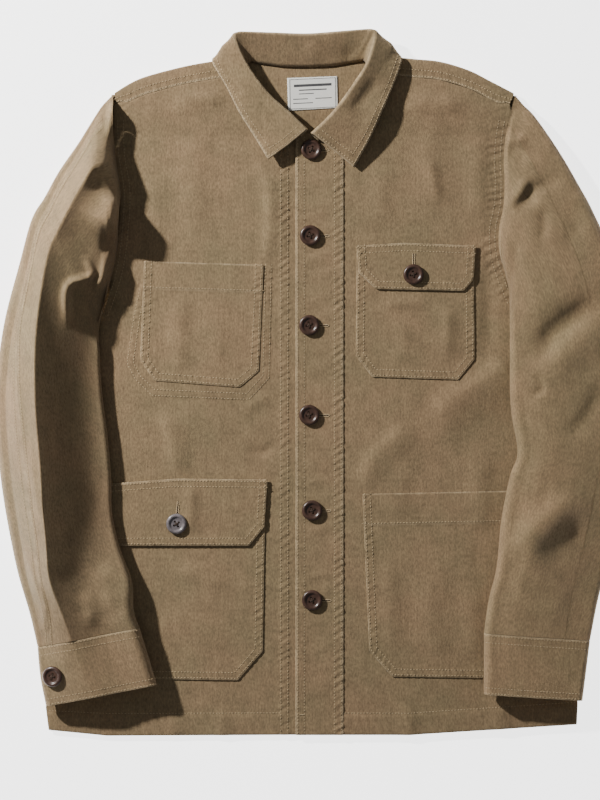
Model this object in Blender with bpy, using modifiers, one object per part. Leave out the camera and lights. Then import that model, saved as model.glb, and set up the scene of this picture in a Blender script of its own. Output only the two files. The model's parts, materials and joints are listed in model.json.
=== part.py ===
"""Chore jacket, laid flat on its back, front up, buttoned.

+X is towards the wearer's left arm, +Y towards the collar, +Z up off the surface.
The origin is the centre of the jacket's footprint, on the surface it lies on.
Tables are in millimetres and each solid is built in metres.
"""
import math
from collections import namedtuple

import bpy
from mathutils import Vector
from mathutils.geometry import delaunay_2d_cdt

MM = 0.001
CENTRE_SHIFT_Y = -0.43

# Driving dimensions, in millimetres
CLOTH = 1.2
CLEARANCE = 0.3
COLLAR_CLOTH = 1.8
LABEL_CLOTH = 0.6
BODY_GAP = 0.8
LAYER = CLOTH + CLEARANCE
FRONT_BOTTOM = {"right": CLOTH + BODY_GAP, "left": CLOTH + BODY_GAP + LAYER}
HEM_Y = -369.0
OVERLAP_LEFT_X = -20.0
OVERLAP_RIGHT_X = 12.0
PLACKET_RIGHT_X = 29.5
COLLAR_LIFT = 2.5
RAISE_ROWS = (260.0, 285.0)
SEAM_DEPTH = 17.0
TIP_RISE = 8.0
SEAM_SHIFT = 0.4
PANEL_SPACING = 26.0
BACK_LATTICE_TOP = 343.0
BUTTON_RADIUS = 10.8
BUTTON_HEIGHT = 3.6
BUTTON_HOLE_RADIUS = 1.1
BUTTON_HOLE_SPREAD = 1.9

Fold = namedtuple("Fold", "x0 y0 x1 y1 width height")
Ring = namedtuple("Ring", "outer_x outer_y inner_x inner_y outer_r inner_r crest ridge bow lift")
Station = namedtuple("Station", "seam fold leaf edge")

SHOULDER_RIGHT = [(-81, 340), (-121, 334), (-149, 328), (-178, 320), (-194, 313), (-210, 303)]
ARMHOLE_RIGHT = [(-210, 303), (-209, 243), (-203, 198), (-207, 142), (-214, 107), (-227, 71), (-247, 56), (-270, 51)]
SHOULDER_LEFT = [(63, 342), (101, 338), (131, 335), (161, 326), (183, 315), (208, 302)]
ARMHOLE_LEFT = [(208, 302), (200, 266), (197, 237), (198, 214), (197, 187), (192, 161), (193, 135), (201, 110),
                (210, 88), (231, 61), (257, 51)]
BACK_NECK = [(-81, 340), (-65, 338), (-40, 334), (-13, 333), (20, 334), (45, 337), (63, 342)]
NECK_RIGHT = [(-84, 322), (-71, 298), (-49, 275), (-22, 261), (OVERLAP_RIGHT_X, 258)]
NECK_LEFT = [(64, 324), (51, 300), (32, 277), (8, 262), (OVERLAP_LEFT_X, 261)]
SIDE_RIGHT = [(-270, 51), (-277, -150), (-282, -340), (-279, -363)]
SIDE_LEFT = [(257, 51), (268, -150), (275, -335), (274, -357)]
HEM = [(-279, -363), (-218, HEM_Y), (-20, -368), (100, -368), (274, -357)]

# Broad, low folds of the two fronts
FOLDS = [
    Fold(-120, 60, -110, -70, 45, 1.1),
    Fold(-100, -200, -105, -340, 45, 1.1),
    Fold(105, 90, 115, -60, 45, 0.9),
    Fold(140, -150, 155, -330, 45, 0.9),
]

SLEEVE_RIGHT = [
    Ring(-210, 303, -226, 71, 1.6, 1.6, 3.2, 0.50, 1.00, 4.8),
    Ring(-215, 298, -226, 68, 2.6, 1.8, 11, 0.30, 0.97, 5.2),
    Ring(-223, 289, -226, 64, 4.0, 2.0, 20, 0.25, 0.93, 5.6),
    Ring(-234, 272, -226, 58, 6.0, 2.3, 27, 0.22, 0.85, 5.6),
    Ring(-247, 251, -226, 53, 8.0, 2.6, 31, 0.22, 0.74, 5.6),
    Ring(-267, 222, -226, 49, 9.0, 3.0, 34, 0.24, 0.60, 5.6),
    Ring(-282, 195, -226, 46, 10, 3.5, 36, 0.25, 0.48, 5.6),
    Ring(-296, 171, -226, 42, 11, 4.2, 38, 0.27, 0.36, 5.6),
    Ring(-309, 124, -225, 34, 12, 5.5, 42, 0.30, 0.18, 5.6),
    Ring(-323, 72, -224, 8, 12, 7.5, 46, 0.35, 0.06, 5.6),
    Ring(-330, 30, -221, -23, 12, 9, 48, 0.38, 0, 5.6),
    Ring(-334, -17, -217, -54, 12, 9, 50, 0.40, 0, 6.2),
    Ring(-331, -75, -213, -99, 12, 9, 50, 0.41, 0, 7.0),
    Ring(-326, -118, -212, -135, 12, 9, 48, 0.40, 0, 7.4),
    Ring(-318, -164, -204, -171, 11, 8, 45, 0.36, 0, 7.4),
    Ring(-310, -201, -191, -206, 9, 7, 40, 0.30, 0, 7.4),
    Ring(-298, -240, -189, -237, 7, 6, 32, 0.33, 0, 7.4),
    Ring(-290, -275, -183, -254, 5, 5, 25, 0.35, 0, 7.4),
]
SLEEVE_LEFT = [
    Ring(208, 302, 204, 99, 2.35, 2.35, 4.7, 0.50, 1.00, 5.6),
    Ring(212, 298, 203, 96, 3.0, 2.5, 10, 0.40, 0.85, 6.4),
    Ring(218, 291, 203, 92, 4.0, 2.0, 17, 0.40, 0.80, 6.6),
    Ring(228, 281, 203, 88, 6.0, 2.3, 23, 0.42, 0.72, 6.6),
    Ring(244, 259, 203, 83, 8.0, 2.6, 28, 0.44, 0.50, 6.6),
    Ring(260, 234, 203, 78, 9.0, 3.0, 32, 0.46, 0.50, 6.6),
    Ring(276, 206, 203, 72, 10, 3.5, 35, 0.48, 0.40, 6.6),
    Ring(289, 182, 203, 66, 11, 4.2, 37, 0.50, 0.30, 6.6),
    Ring(309, 136, 203, 53, 12, 5.5, 41, 0.52, 0.18, 6.6),
    Ring(326, 72, 203, 23, 12, 7.5, 45, 0.55, 0.06, 6.6),
    Ring(332, 29, 203, -5, 12, 9, 46, 0.58, 0, 6.6),
    Ring(334, -17, 205, -35, 12, 9, 46, 0.60, 0, 6.8),
    Ring(333, -66, 211, -72, 12, 9, 45, 0.60, 0, 7.2),
    Ring(329, -101, 203, -97, 12, 9, 44, 0.60, 0, 7.4),
    Ring(318, -151, 194, -143, 11, 8, 42, 0.58, 0, 7.0),
    Ring(307, -187, 189, -192, 9, 7, 38, 0.55, 0, 7.8),
    Ring(296, -225, 181, -225, 7, 6, 31, 0.50, 0, 8.4),
    Ring(287, -268, 176, -260, 5, 5, 26, 0.50, 0, 9.2),
]
CUFF_RIGHT = [
    Ring(-290, -275.5, -183, -254.5, 5, 5, 25, 0.35, 0, 7.6),
    Ring(-287, -306, -174, -284, 6, 6, 24, 0.40, 0, 7.6),
    Ring(-281, -337, -165, -314, 6, 6, 24, 0.45, 0, 7.6),
]
CUFF_LEFT = [
    Ring(287, -268.5, 176, -260.5, 5, 5, 26, 0.50, 0, 9.2),
    Ring(283, -300, 176, -292, 6, 6, 25, 0.50, 0, 9.2),
    Ring(279, -331, 176, -324, 6, 6, 25, 0.50, 0, 9.2),
]

# Collar stations from each front end round to the centre of the back
COLLAR_RIGHT = [
    Station((-14, 259, 8.0), (-8, 265, 13), (-28, 249, 10), (-49, 234, 8.6)),
    Station((-36, 271, 6.6), (-27, 283, 15), (-46, 268, 11), (-64, 259, 7.2)),
    Station((-56, 288, 7.4), (-44, 298, 18.5), (-62, 289, 14), (-80, 285, 7.4)),
    Station((-70, 307, 7.4), (-58, 314, 21), (-76, 309, 16), (-93, 311, 7.6)),
    Station((-74, 326, 7.4), (-71, 333, 22), (-88, 333, 16), (-107, 335, 7.8)),
    Station((-68, 337, 6.2), (-82, 353, 21), (-92, 351, 14), (-103, 348, 6.5)),
    Station((-61, 336, 5.5), (-84, 363, 19), (-91, 354, 10), (-98, 347, 1.0)),
    Station((-56, 335, 5.4), (-80, 366, 18), (-86, 353, 2.4), (-94, 344.5, 1.05)),
    Station((-49, 334, 5.4), (-73, 367, 17), (-77, 350, 1.2), (-84, 323, 1.05)),
    Station((-33, 332, 5.4), (-45, 368, 15), (-45, 349, 1.1), (-49, 300, 1.05)),
]
COLLAR_CENTRE = Station((-11, 331.5, 5.4), (-9, 364, 14), (-9, 346, 1.1), (-9, 297, 1.05))
COLLAR_LEFT = [
    Station((3, 254, 8.2), (-4, 261, 14), (19, 244, 11.5), (41, 226, 8.6)),
    Station((23, 275, 8.4), (16, 280, 17), (37, 264, 12.5), (58, 257, 8.2)),
    Station((42, 293, 8.8), (30, 297, 20), (49, 287, 15), (70, 284, 9.4)),
    Station((53, 311, 9.2), (44, 317, 22.5), (61, 310, 17), (81, 310, 9.6)),
    Station((57, 327, 9.0), (54, 333, 23.5), (70, 332, 18), (90, 335, 9.8)),
    Station((52, 338, 6.8), (61, 353, 22), (74, 351, 15), (86, 349, 7.0)),
    Station((47, 337.5, 5.5), (63, 364, 19.5), (72, 354, 10.5), (80, 346, 1.0)),
    Station((42, 336.5, 5.4), (60, 367, 18), (66, 354, 2.4), (76, 346, 1.05)),
    Station((35, 335.5, 5.4), (54, 369, 17), (57, 350, 1.2), (64, 323, 1.05)),
    Station((16, 332.5, 5.4), (24, 368, 15.5), (24, 349, 1.1), (28, 300, 1.05)),
]
COLLAR_FOLD_RADIUS = 2.4

# Points of a sleeve's section where its two pieces meet
BACK_SEAM, INNER_SEAM = 5, 19

CHEST_POCKET_RIGHT = [(-179, 128), (-54, 124), (-59, 13), (-79, -4), (-168, 3), (-183, 24)]
CHEST_POCKET_LEFT = [(44, 141), (43, 29), (60, 7), (150, 4), (167, 25), (166, 141)]
CHEST_FLAP_LEFT = [(44, 144), (94, 147), (168, 144), (166, 109), (156, 97), (64, 99), (46, 116)]
HIP_POCKET_RIGHT = [(-236, -110), (-52, -107), (-55, -281), (-81, -311), (-210, -309), (-234, -282)]
HIP_FLAP_RIGHT = [(-239, -107), (-145, -100), (-50, -101), (-53, -150), (-69, -170), (-222, -170), (-238, -151)]
HIP_POCKET_LEFT = [(50, -116), (193, -113), (237, -112), (234, -282), (210, -309), (81, -307), (57, -280)]
NECK_LABEL = [(-29, 320), (23, 322), (24, 289), (-28, 286)]

CUFF_BUTTON_RIGHT = (-273, -305, 22.1)
CUFF_BUTTON_LEFT = (262, -300, 8.9)
FRONT_BUTTON_POINTS = [(-4, 245), (-5, 155), (-6, 61), (-6, -33), (-3, -133), (-3, -227)]
CHEST_FLAP_BUTTON = (103, 114)
HIP_FLAP_BUTTON = (-145, -147)


def clear_scene():
    for old in list(bpy.data.objects):
        bpy.data.objects.remove(old, do_unlink=True)


def cloth_material(name, colour, roughness):
    material = bpy.data.materials.new(name)
    material.use_nodes = True
    shader = material.node_tree.nodes["Principled BSDF"]
    shader.inputs["Base Color"].default_value = (*colour, 1)
    shader.inputs["Roughness"].default_value = roughness
    shader.inputs["Metallic"].default_value = 0
    material.diffuse_color = (*colour, 1)
    return material


def smoothstep(value, start, end):
    t = min(1, max(0, (value - start) / (end - start)))
    return t * t * (3 - 2 * t)


def catmull(values, t):
    """Value at t, from 0 to 1, of a smooth curve through evenly spaced values."""
    last = len(values) - 1
    position = min(last - 1e-9, max(0, t * last))
    i = int(position)
    f = position - i
    p0, p1, p2, p3 = (values[min(last, max(0, i + k))] for k in (-1, 0, 1, 2))
    return 0.5 * (2 * p1 + (p2 - p0) * f + (2 * p0 - 5 * p1 + 4 * p2 - p3) * f * f
                  + (3 * p1 - p0 - 3 * p2 + p3) * f ** 3)


def smooth_line(points, steps):
    """Points spaced along a smooth curve through the given corner points."""
    xs = [p[0] for p in points]
    ys = [p[1] for p in points]
    return [(catmull(xs, k / steps), catmull(ys, k / steps)) for k in range(steps + 1)]


def along(line, t):
    """Point at the share t of a polyline's length."""
    lengths = [math.dist(a, b) for a, b in zip(line, line[1:])]
    rest = t * sum(lengths)
    for a, b, length in zip(line, line[1:], lengths):
        if rest <= length:
            f = rest / length
            return (a[0] + f * (b[0] - a[0]), a[1] + f * (b[1] - a[1]))
        rest -= length
    return line[-1]


def value_at(line, position, axis):
    """The other coordinate of a polyline where its coordinate on the axis has this value."""
    ordered = sorted(line, key=lambda p: p[axis])
    if position <= ordered[0][axis]:
        return ordered[0][1 - axis]
    for a, b in zip(ordered, ordered[1:]):
        if position <= b[axis]:
            f = (position - a[axis]) / max(1e-9, b[axis] - a[axis])
            return a[1 - axis] + f * (b[1 - axis] - a[1 - axis])
    return ordered[-1][1 - axis]


ARMHOLE_CURVE = {"right": smooth_line(ARMHOLE_RIGHT, 16), "left": smooth_line(ARMHOLE_LEFT, 18)}
SHOULDER_CURVE = {"right": smooth_line(SHOULDER_RIGHT, 10), "left": smooth_line(SHOULDER_LEFT, 10)}
SIDE_CURVE = {"right": SIDE_RIGHT, "left": SIDE_LEFT}


def collar_raise(y):
    """Lift of the shoulders, which lie on the collar's fall."""
    start, end = RAISE_ROWS
    return COLLAR_LIFT * min(1, max(0, (y - start) / (end - start)))


def relief(x, y):
    """Height of the fronts' broad folds."""
    total = 0
    for fold in FOLDS:
        dx, dy = fold.x1 - fold.x0, fold.y1 - fold.y0
        length = math.hypot(dx, dy)
        t = ((x - fold.x0) * dx + (y - fold.y0) * dy) / length ** 2
        distance = abs((x - fold.x0) * dy - (y - fold.y0) * dx) / length
        ends = smoothstep(t, -0.3, 0.2) * (1 - smoothstep(t, 0.8, 1.3))
        total += fold.height * math.exp(-(distance / fold.width) ** 2) * ends
    return total * smoothstep(abs(x), 30, 80) * (1 - smoothstep(abs(x), 150, 200))


def back_height(x, y):
    return collar_raise(y)


def front_height(side, layers=0):
    """Height function of a front's underside, or of what lies some layers above it."""
    def height(x, y):
        return FRONT_BOTTOM[side] + collar_raise(y) + relief(x, y) + layers * LAYER
    return height


def split_edges(outline, spacing):
    points = []
    for a, b in zip(outline, outline[1:] + outline[:1]):
        count = max(1, math.ceil(math.dist(a, b) / spacing))
        points += [(a[0] + (b[0] - a[0]) * k / count, a[1] + (b[1] - a[1]) * k / count) for k in range(count)]
    return points


def inside(outline, x, y):
    crossings = 0
    for a, b in zip(outline, outline[1:] + outline[:1]):
        if (a[1] > y) != (b[1] > y) and x < a[0] + (y - a[1]) * (b[0] - a[0]) / (b[1] - a[1]):
            crossings += 1
    return crossings % 2 == 1


def distance_to(outline, x, y):
    return open_distance(outline + outline[:1], x, y)


def open_distance(line, x, y):
    best = 1e9
    for a, b in zip(line, line[1:]):
        dx, dy = b[0] - a[0], b[1] - a[1]
        t = min(1, max(0, ((x - a[0]) * dx + (y - a[1]) * dy) / max(1e-9, dx * dx + dy * dy)))
        best = min(best, math.hypot(x - a[0] - t * dx, y - a[1] - t * dy))
    return best


def flat_mesh(outline, spacing):
    """Triangulated flat outline: its edge points, then a lattice inside."""
    points = split_edges(outline, spacing)
    count = len(points)
    edges = [(k, (k + 1) % count) for k in range(count)]
    low_x, high_x = min(p[0] for p in points), max(p[0] for p in points)
    low_y, high_y = min(p[1] for p in points), max(p[1] for p in points)
    points += lattice(outline, low_x, high_x, low_y, high_y, spacing)
    flat = [Vector(p) for p in points]
    verts, _, faces, *_ = delaunay_2d_cdt(flat, edges, [list(range(count))], 1, 1e-6)
    return [(v.x, v.y) for v in verts], [upward(verts, face) for face in faces]


def lattice(outline, low_x, high_x, low_y, high_y, spacing, highest=lambda x: math.inf):
    """Even rows of points inside an outline, with two rows where the shoulders start to lift and level off."""
    columns = int((high_x - low_x) / spacing) + 1
    row_count = int((high_y - low_y) / spacing) + 1
    rows = [low_y + (high_y - low_y) * j / row_count for j in range(1, row_count)]
    rows = [y for y in rows if all(abs(y - edge) > 0.4 * spacing for edge in RAISE_ROWS)]
    rows += [edge for edge in RAISE_ROWS if low_y < edge < high_y]
    points = []
    for i in range(1, columns):
        x = low_x + (high_x - low_x) * i / columns
        for y in rows:
            if y < highest(x) and inside(outline, x, y) and distance_to(outline, x, y) > 0.35 * spacing:
                points.append((x, y))
    return points


def upward(verts, face):
    a, b, c = (verts[i] for i in face[:3])
    turn = (b.x - a.x) * (c.y - a.y) - (b.y - a.y) * (c.x - a.x)
    return list(face) if turn > 0 else list(reversed(face))


def shell(name, verts, faces, thickness, offset, material, even=True):
    """An open surface in millimetres, made into cloth of the given thickness."""
    mesh = bpy.data.meshes.new(name)
    shift = Vector((0, CENTRE_SHIFT_Y, 0))
    mesh.from_pydata([(Vector(v) + shift) * MM for v in verts], [], faces)
    mesh.materials.append(material)
    piece = bpy.data.objects.new(name, mesh)
    garment.objects.link(piece)
    solidify = piece.modifiers.new("cloth", "SOLIDIFY")
    solidify.thickness = thickness * MM
    solidify.offset = offset
    solidify.use_even_offset = even
    return piece


def panel(name, outline, height, material, thickness=CLOTH, spacing=PANEL_SPACING):
    """A flat-lying piece whose underside follows the height function."""
    flat, faces = flat_mesh(outline, spacing)
    verts = [(x, y, height(x, y)) for x, y in flat]
    return shell(name, verts, faces, thickness, 1, material)


def fold_line_y(x):
    line = SHOULDER_CURVE["right" if x < 0 else "left"]
    return value_at(line, x, 0)


def fold_radius(x):
    return FRONT_BOTTOM["right" if x < 0 else "left"] / 2


def fold_back(x, y):
    """Place a point of the unfolded back on its folded form, on the cloth's middle surface."""
    crease = fold_line_y(x)
    beyond = y - crease
    radius = fold_radius(x)
    arc = math.pi * radius
    middle = CLOTH / 2
    if beyond <= 0 or not (x < SHOULDER_RIGHT[0][0] + 0.5 or x > SHOULDER_LEFT[0][0] - 0.5):
        return (x, y, back_height(x, y) + middle)
    lift = back_height(x, crease) + middle
    if beyond < arc:
        angle = beyond / radius
        return (x, crease + radius * math.sin(angle), lift + radius * (1 - math.cos(angle)))
    folded_y = crease - (beyond - arc)
    return (x, folded_y, back_height(x, folded_y) + middle + 2 * radius)


def make_back():
    """The back, with a strip over each shoulder down to the forward shoulder seam."""
    right, left = SHOULDER_CURVE["right"], SHOULDER_CURVE["left"]
    arc_steps = 4
    points, edges = [], []

    def add(point):
        points.append(Vector(point))
        return len(points) - 1

    rim = smooth_line(BACK_NECK, 10)[1:-1]
    left_edge = [left[-1]] + armhole_edge("left", "under") + SIDE_LEFT[1:]
    right_edge = SIDE_RIGHT[::-1][1:] + armhole_edge("right", "under")[::-1] + [right[-1]]
    lower = split_open(left_edge + HEM[::-1][1:] + right_edge, PANEL_SPACING)
    grids = {}
    for side, line in (("right", right), ("left", left)):
        grid = []
        step = math.pi * fold_radius(line[0][0]) / arc_steps
        for k, (x, y) in enumerate(line):
            depth = SEAM_DEPTH if k < len(line) - 1 else SEAM_DEPTH - TIP_RISE
            column = [add((x, y + step * n)) for n in range(arc_steps + 1)]
            inset = tip_inset(side) if k == len(line) - 1 else 0
            column += [add((x + inset * f, y + step * arc_steps + depth * f)) for f in (0.5, 1)]
            grid.append(column)
        grids[side] = grid
        for column in grid:
            edges += list(zip(column, column[1:]))
        for a, b in zip(grid, grid[1:]):
            edges += list(zip(a, b))
    lower_index = [grids["left"][-1][0]] + [add(p) for p in lower[1:-1]] + [grids["right"][-1][0]]
    rim_index = [grids["right"][0][0]] + [add(p) for p in rim] + [grids["left"][0][0]]
    right_over = grids["right"][-1] + [c[-1] for c in grids["right"][-2::-1]] + grids["right"][0][-2::-1]
    left_over = grids["left"][0] + [c[-1] for c in grids["left"][1:]] + grids["left"][-1][-2::-1]
    outline_index = lower_index[:-1] + right_over[:-1] + rim_index[:-1] + left_over[:-1]
    outline = [tuple(points[i]) for i in outline_index]
    edges += list(zip(outline_index, outline_index[1:] + outline_index[:1]))
    low_x, high_x = min(p[0] for p in SIDE_RIGHT), max(p[0] for p in SIDE_LEFT)
    for point in lattice(outline, low_x, high_x, HEM_Y, BACK_LATTICE_TOP, PANEL_SPACING, lambda x: fold_line_y(x) - 9):
        add(point)
    verts, _, faces, *_ = delaunay_2d_cdt(points, edges, [outline_index], 1, 1e-6)
    placed = [fold_back(v.x, v.y) for v in verts]
    return shell("back", placed, [upward(verts, face) for face in faces], CLOTH, 0, khaki)


def split_open(line, spacing):
    points = []
    for a, b in zip(line, line[1:]):
        count = max(1, math.ceil(math.dist(a, b) / spacing))
        points += [(a[0] + (b[0] - a[0]) * k / count, a[1] + (b[1] - a[1]) * k / count) for k in range(count)]
    return points + [line[-1]]


def tip_inset(side):
    """How far the armhole runs in from the shoulder tip over the depth of the shoulder seam."""
    return 1.5 if side == "right" else -4.0


def seam_shift(ring, y):
    """Set-back of an armhole's edge, wider where the sleeve folds over it at the underarm."""
    return SEAM_SHIFT + 2.4 * (1 - smoothstep(y, ring.inner_y + 34, ring.inner_y + 60))


def armhole_edge(side, layer):
    """A panel's armhole: the sleeve's first section, set back by the seam's gap, then on to the underarm."""
    ring = (SLEEVE_RIGHT if side == "right" else SLEEVE_LEFT)[0]
    section = ring_points(ring, side)
    picks = section[4:13] if layer == "top" else [section[0]] + section[:15:-1]
    inward = 1 if side == "right" else -1
    tip_y = SHOULDER_CURVE[side][-1][1]
    tip_room = 10 if layer == "under" else SEAM_DEPTH - 4
    seam = [(x + inward * seam_shift(ring, y), y) for x, y, _ in picks if ring.inner_y + 0.5 < y < tip_y - tip_room]
    rest = [p for p in ARMHOLE_CURVE[side] if p[1] < ring.inner_y - 2]
    return seam + rest


def front_outline(side, neck, centre_x):
    """Front panel: shoulder seam, armhole, side, hem, centre edge and neck."""
    shoulder = []
    line = SHOULDER_CURVE[side]
    for k, (x, y) in enumerate(line):
        last = k == len(line) - 1
        depth = SEAM_DEPTH - TIP_RISE if last else SEAM_DEPTH
        shoulder.append((x + (tip_inset(side) if last else 0), y - depth - CLEARANCE * 1.5))
    armhole = armhole_edge(side, "top")
    side_line = SIDE_CURVE[side][1:]
    hem = [p for p in HEM if (p[0] < centre_x if side == "right" else p[0] > centre_x)]
    hem = sorted(hem, key=lambda p: p[0], reverse=side == "left")
    hem_end = [(centre_x, value_at(HEM, centre_x, 0))]
    neck_line = smooth_line(neck, 8)[::-1]
    return shoulder + armhole + side_line + hem[1:] + hem_end + neck_line


def ring_plan(ring, side, t):
    """Plan position on a ring, from its outer end at 0 to its inner end at 1."""
    x = ring.outer_x + t * (ring.inner_x - ring.outer_x)
    y = ring.outer_y + t * (ring.inner_y - ring.outer_y)
    if ring.bow > 0:
        first = (SLEEVE_RIGHT if side == "right" else SLEEVE_LEFT)[0]
        curve = [p for p in ARMHOLE_CURVE[side] if p[1] > first.inner_y] + [(first.inner_x, first.inner_y)]
        ax, ay = along(curve, t)
        outward = -1 if side == "right" else 1
        x += ring.bow * (ax + outward * (0.5 + (1 - t) ** 8) - first.outer_x - t * (first.inner_x - first.outer_x))
        y += ring.bow * (ay - first.outer_y - t * (first.inner_y - first.outer_y))
    return x, y


def lower_height(ring, side, x, y, dip):
    """Height of the sleeve's underside: over the body's edge, and down to the surface outside it."""
    border = ARMHOLE_CURVE[side] + SIDE_CURVE[side][1:]
    boundary = value_at(border[:-1], y, 1)
    beyond = x < boundary if side == "right" else x > boundary
    outside = open_distance(border, x, y) if beyond else 0
    over = 1 - smoothstep(outside, 8, 28) if dip else 1
    notch = (SLEEVE_RIGHT if side == "right" else SLEEVE_LEFT)[0].inner_y
    past_armhole = 1 - smoothstep(y, notch + 14, notch + 48)
    return ring.lift * over * past_armhole + collar_raise(y) * ring.bow ** 4


def ring_points(ring, side, dip=True):
    """One closed cross-section: outer roll, top over the ridge, inner roll, underside."""
    length = math.dist(ring_plan(ring, side, 0), ring_plan(ring, side, 1))
    ends = {"outer": (0, ring.outer_r), "inner": (1, ring.inner_r)}
    points = []

    def roll(end, angles):
        start, radius = ends[end]
        direction = 1 if end == "outer" else -1
        x, y = ring_plan(ring, side, start + direction * radius / length)
        floor = lower_height(ring, side, x, y, dip)
        for angle in angles:
            offset = radius * (1 - math.cos(math.radians(angle)))
            t = start + direction * offset / length
            px, py = ring_plan(ring, side, t)
            points.append((px, py, floor + radius * (1 + math.sin(math.radians(angle)))))

    def top(t):
        x, y = ring_plan(ring, side, t)
        outer_x, outer_y = ring_plan(ring, side, ring.outer_r / length)
        inner_x, inner_y = ring_plan(ring, side, 1 - ring.inner_r / length)
        low = lower_height(ring, side, outer_x, outer_y, dip) + 2 * ring.outer_r
        high = lower_height(ring, side, inner_x, inner_y, dip) + 2 * ring.inner_r
        base = low + (high - low) * smoothstep(t, 0.5, 1)
        if ring.bow > 0.9:
            base = lower_height(ring, side, x, y, dip) + 2 * ring.outer_r
        start, end = ring.outer_r / length, 1 - ring.inner_r / length
        if t < ring.ridge:
            share = (t - start) / (ring.ridge - start)
        else:
            share = (end - t) / (end - ring.ridge)
        share = min(1, max(0, share))
        return x, y, base + max(0, ring.crest - base) * math.sin(share * math.pi / 2) ** 1.3

    roll("outer", (-60, -20, 20, 60, 90))
    start, end = ring.outer_r / length, 1 - ring.inner_r / length
    for share in (0.35, 0.7, 1):
        points.append(top(start + (ring.ridge - start) * share))
    for share in (0.2, 0.4, 0.6, 0.8):
        points.append(top(ring.ridge + (end - ring.ridge) * share))
    roll("inner", (90, 45, 0, -45, -90))
    for share in (0.92, 0.8, 0.66, 0.52, 0.38, 0.25, 0.12):
        t = start + (end - start) * share
        x, y = ring_plan(ring, side, t)
        points.append((x, y, lower_height(ring, side, x, y, dip)))
    x, y = ring_plan(ring, side, start)
    points.append((x, y, lower_height(ring, side, x, y, dip)))
    return points


def blend_rings(rows, count):
    """Rings spaced evenly along the rows of a table, on smooth curves through its columns."""
    columns = list(zip(*rows))
    return [Ring(*(catmull(column, k / (count - 1)) for column in columns)) for k in range(count)]


def tube_piece(name, rings, side, first, last, material, dip=True, thickness=CLOTH):
    """The part of a sleeve or cuff between two lengthwise seams, first and last point of its rings."""
    sections = [ring_points(ring, side, dip) for ring in rings]
    size = len(sections[0])
    whole = first == last
    end = first + size - 1 if whole else last + (size if last < first else 0)
    picks = [k % size for k in range(first, end + 1)]
    verts, faces = [], []
    for ring, section in zip(rings, sections):
        row = [Vector(section[k]) for k in picks]
        if not whole:
            gap = 0.2 + 0.7 * ring.bow ** 2
            row[0] = row[0] + (row[1] - row[0]).normalized() * gap
            row[-1] = row[-1] + (row[-2] - row[-1]).normalized() * gap
        verts += [tuple(v) for v in row]
    width = len(picks)
    steps = width if whole else width - 1
    for i in range(len(sections) - 1):
        for j in range(steps):
            k = (j + 1) % width
            quad = [i * width + j, i * width + k, (i + 1) * width + k, (i + 1) * width + j]
            faces.append(quad if side == "left" else quad[::-1])
    return shell(name, verts, faces, thickness, -1, material, even=False)


def collar_section(station):
    """Stand from the neck seam, rolled fold, then the fall to its outer edge."""
    seam, fold, leaf, edge = (Vector(p) for p in station)
    middle = (seam + leaf) / 2
    outward = (fold - middle).normalized()
    across = (seam - leaf) - outward * (seam - leaf).dot(outward)
    across.normalize()
    centre = fold - outward * COLLAR_FOLD_RADIUS

    def tangent(point, sign):
        offset = point - centre
        along_axis, sideways = offset.dot(outward), offset.dot(across) * sign
        reach = math.hypot(along_axis, sideways)
        polar = math.atan2(sideways, along_axis)
        return sign * (polar - math.acos(min(1, COLLAR_FOLD_RADIUS / reach)))

    start, end = tangent(seam, 1), tangent(leaf, -1)
    arc = []
    for k in range(6):
        angle = start + (end - start) * k / 5
        arc.append(centre + (outward * math.cos(angle) + across * math.sin(angle)) * COLLAR_FOLD_RADIUS)
    stand = [seam.lerp(arc[0], t) for t in (0, 0.5)]
    fall = [arc[-1].lerp(leaf, 0.5), leaf] + [leaf.lerp(edge, t) for t in (0.5, 1)]
    return stand + arc + fall


def make_collar():
    stations = COLLAR_RIGHT + [COLLAR_CENTRE] + COLLAR_LEFT[::-1]
    columns = [[getattr(s, part)[axis] for s in stations] for part in Station._fields for axis in range(3)]
    count = 34
    verts, faces = [], []
    for k in range(count):
        values = [catmull(column, k / (count - 1)) for column in columns]
        section = collar_section([values[n:n + 3] for n in (0, 3, 6, 9)])
        width = len(section)
        verts += [tuple(v) for v in section]
    for i in range(count - 1):
        for j in range(width - 1):
            faces.append([i * width + j, (i + 1) * width + j, (i + 1) * width + j + 1, i * width + j + 1])
    return shell("collar", verts, faces, COLLAR_CLOTH, 0, khaki)


def make_button(name, x, y, z, tilt=0):
    """A turned button with a raised rim and four holes, on its own axis, then set in place."""
    radius, height = BUTTON_RADIUS * MM, BUTTON_HEIGHT * MM
    profile = [
        (0, 0.62 * height), (0.55 * radius, 0.62 * height), (0.68 * radius, 0.95 * height), (0.82 * radius, height),
        (0.95 * radius, 0.8 * height), (radius, 0.5 * height), (0.85 * radius, 0.1 * height), (0.6 * radius, 0), (0, 0),
    ]
    mesh = bpy.data.meshes.new(name)
    mesh.from_pydata([(px, 0, pz) for px, pz in profile], [(k, k + 1) for k in range(len(profile) - 1)], [])
    mesh.materials.append(button_brown)
    button = bpy.data.objects.new(name, mesh)
    garment.objects.link(button)
    screw = button.modifiers.new("turn", "SCREW")
    screw.steps = screw.render_steps = 14
    screw.use_merge_vertices = True
    screw.merge_threshold = 0.00001
    cut = button.modifiers.new("holes", "BOOLEAN")
    cut.operation = "DIFFERENCE"
    cut.object = hole_cutter()
    placed = (x * MM, (y + CENTRE_SHIFT_Y) * MM, z * MM)
    return bake_button(button, placed, tilt)


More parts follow.
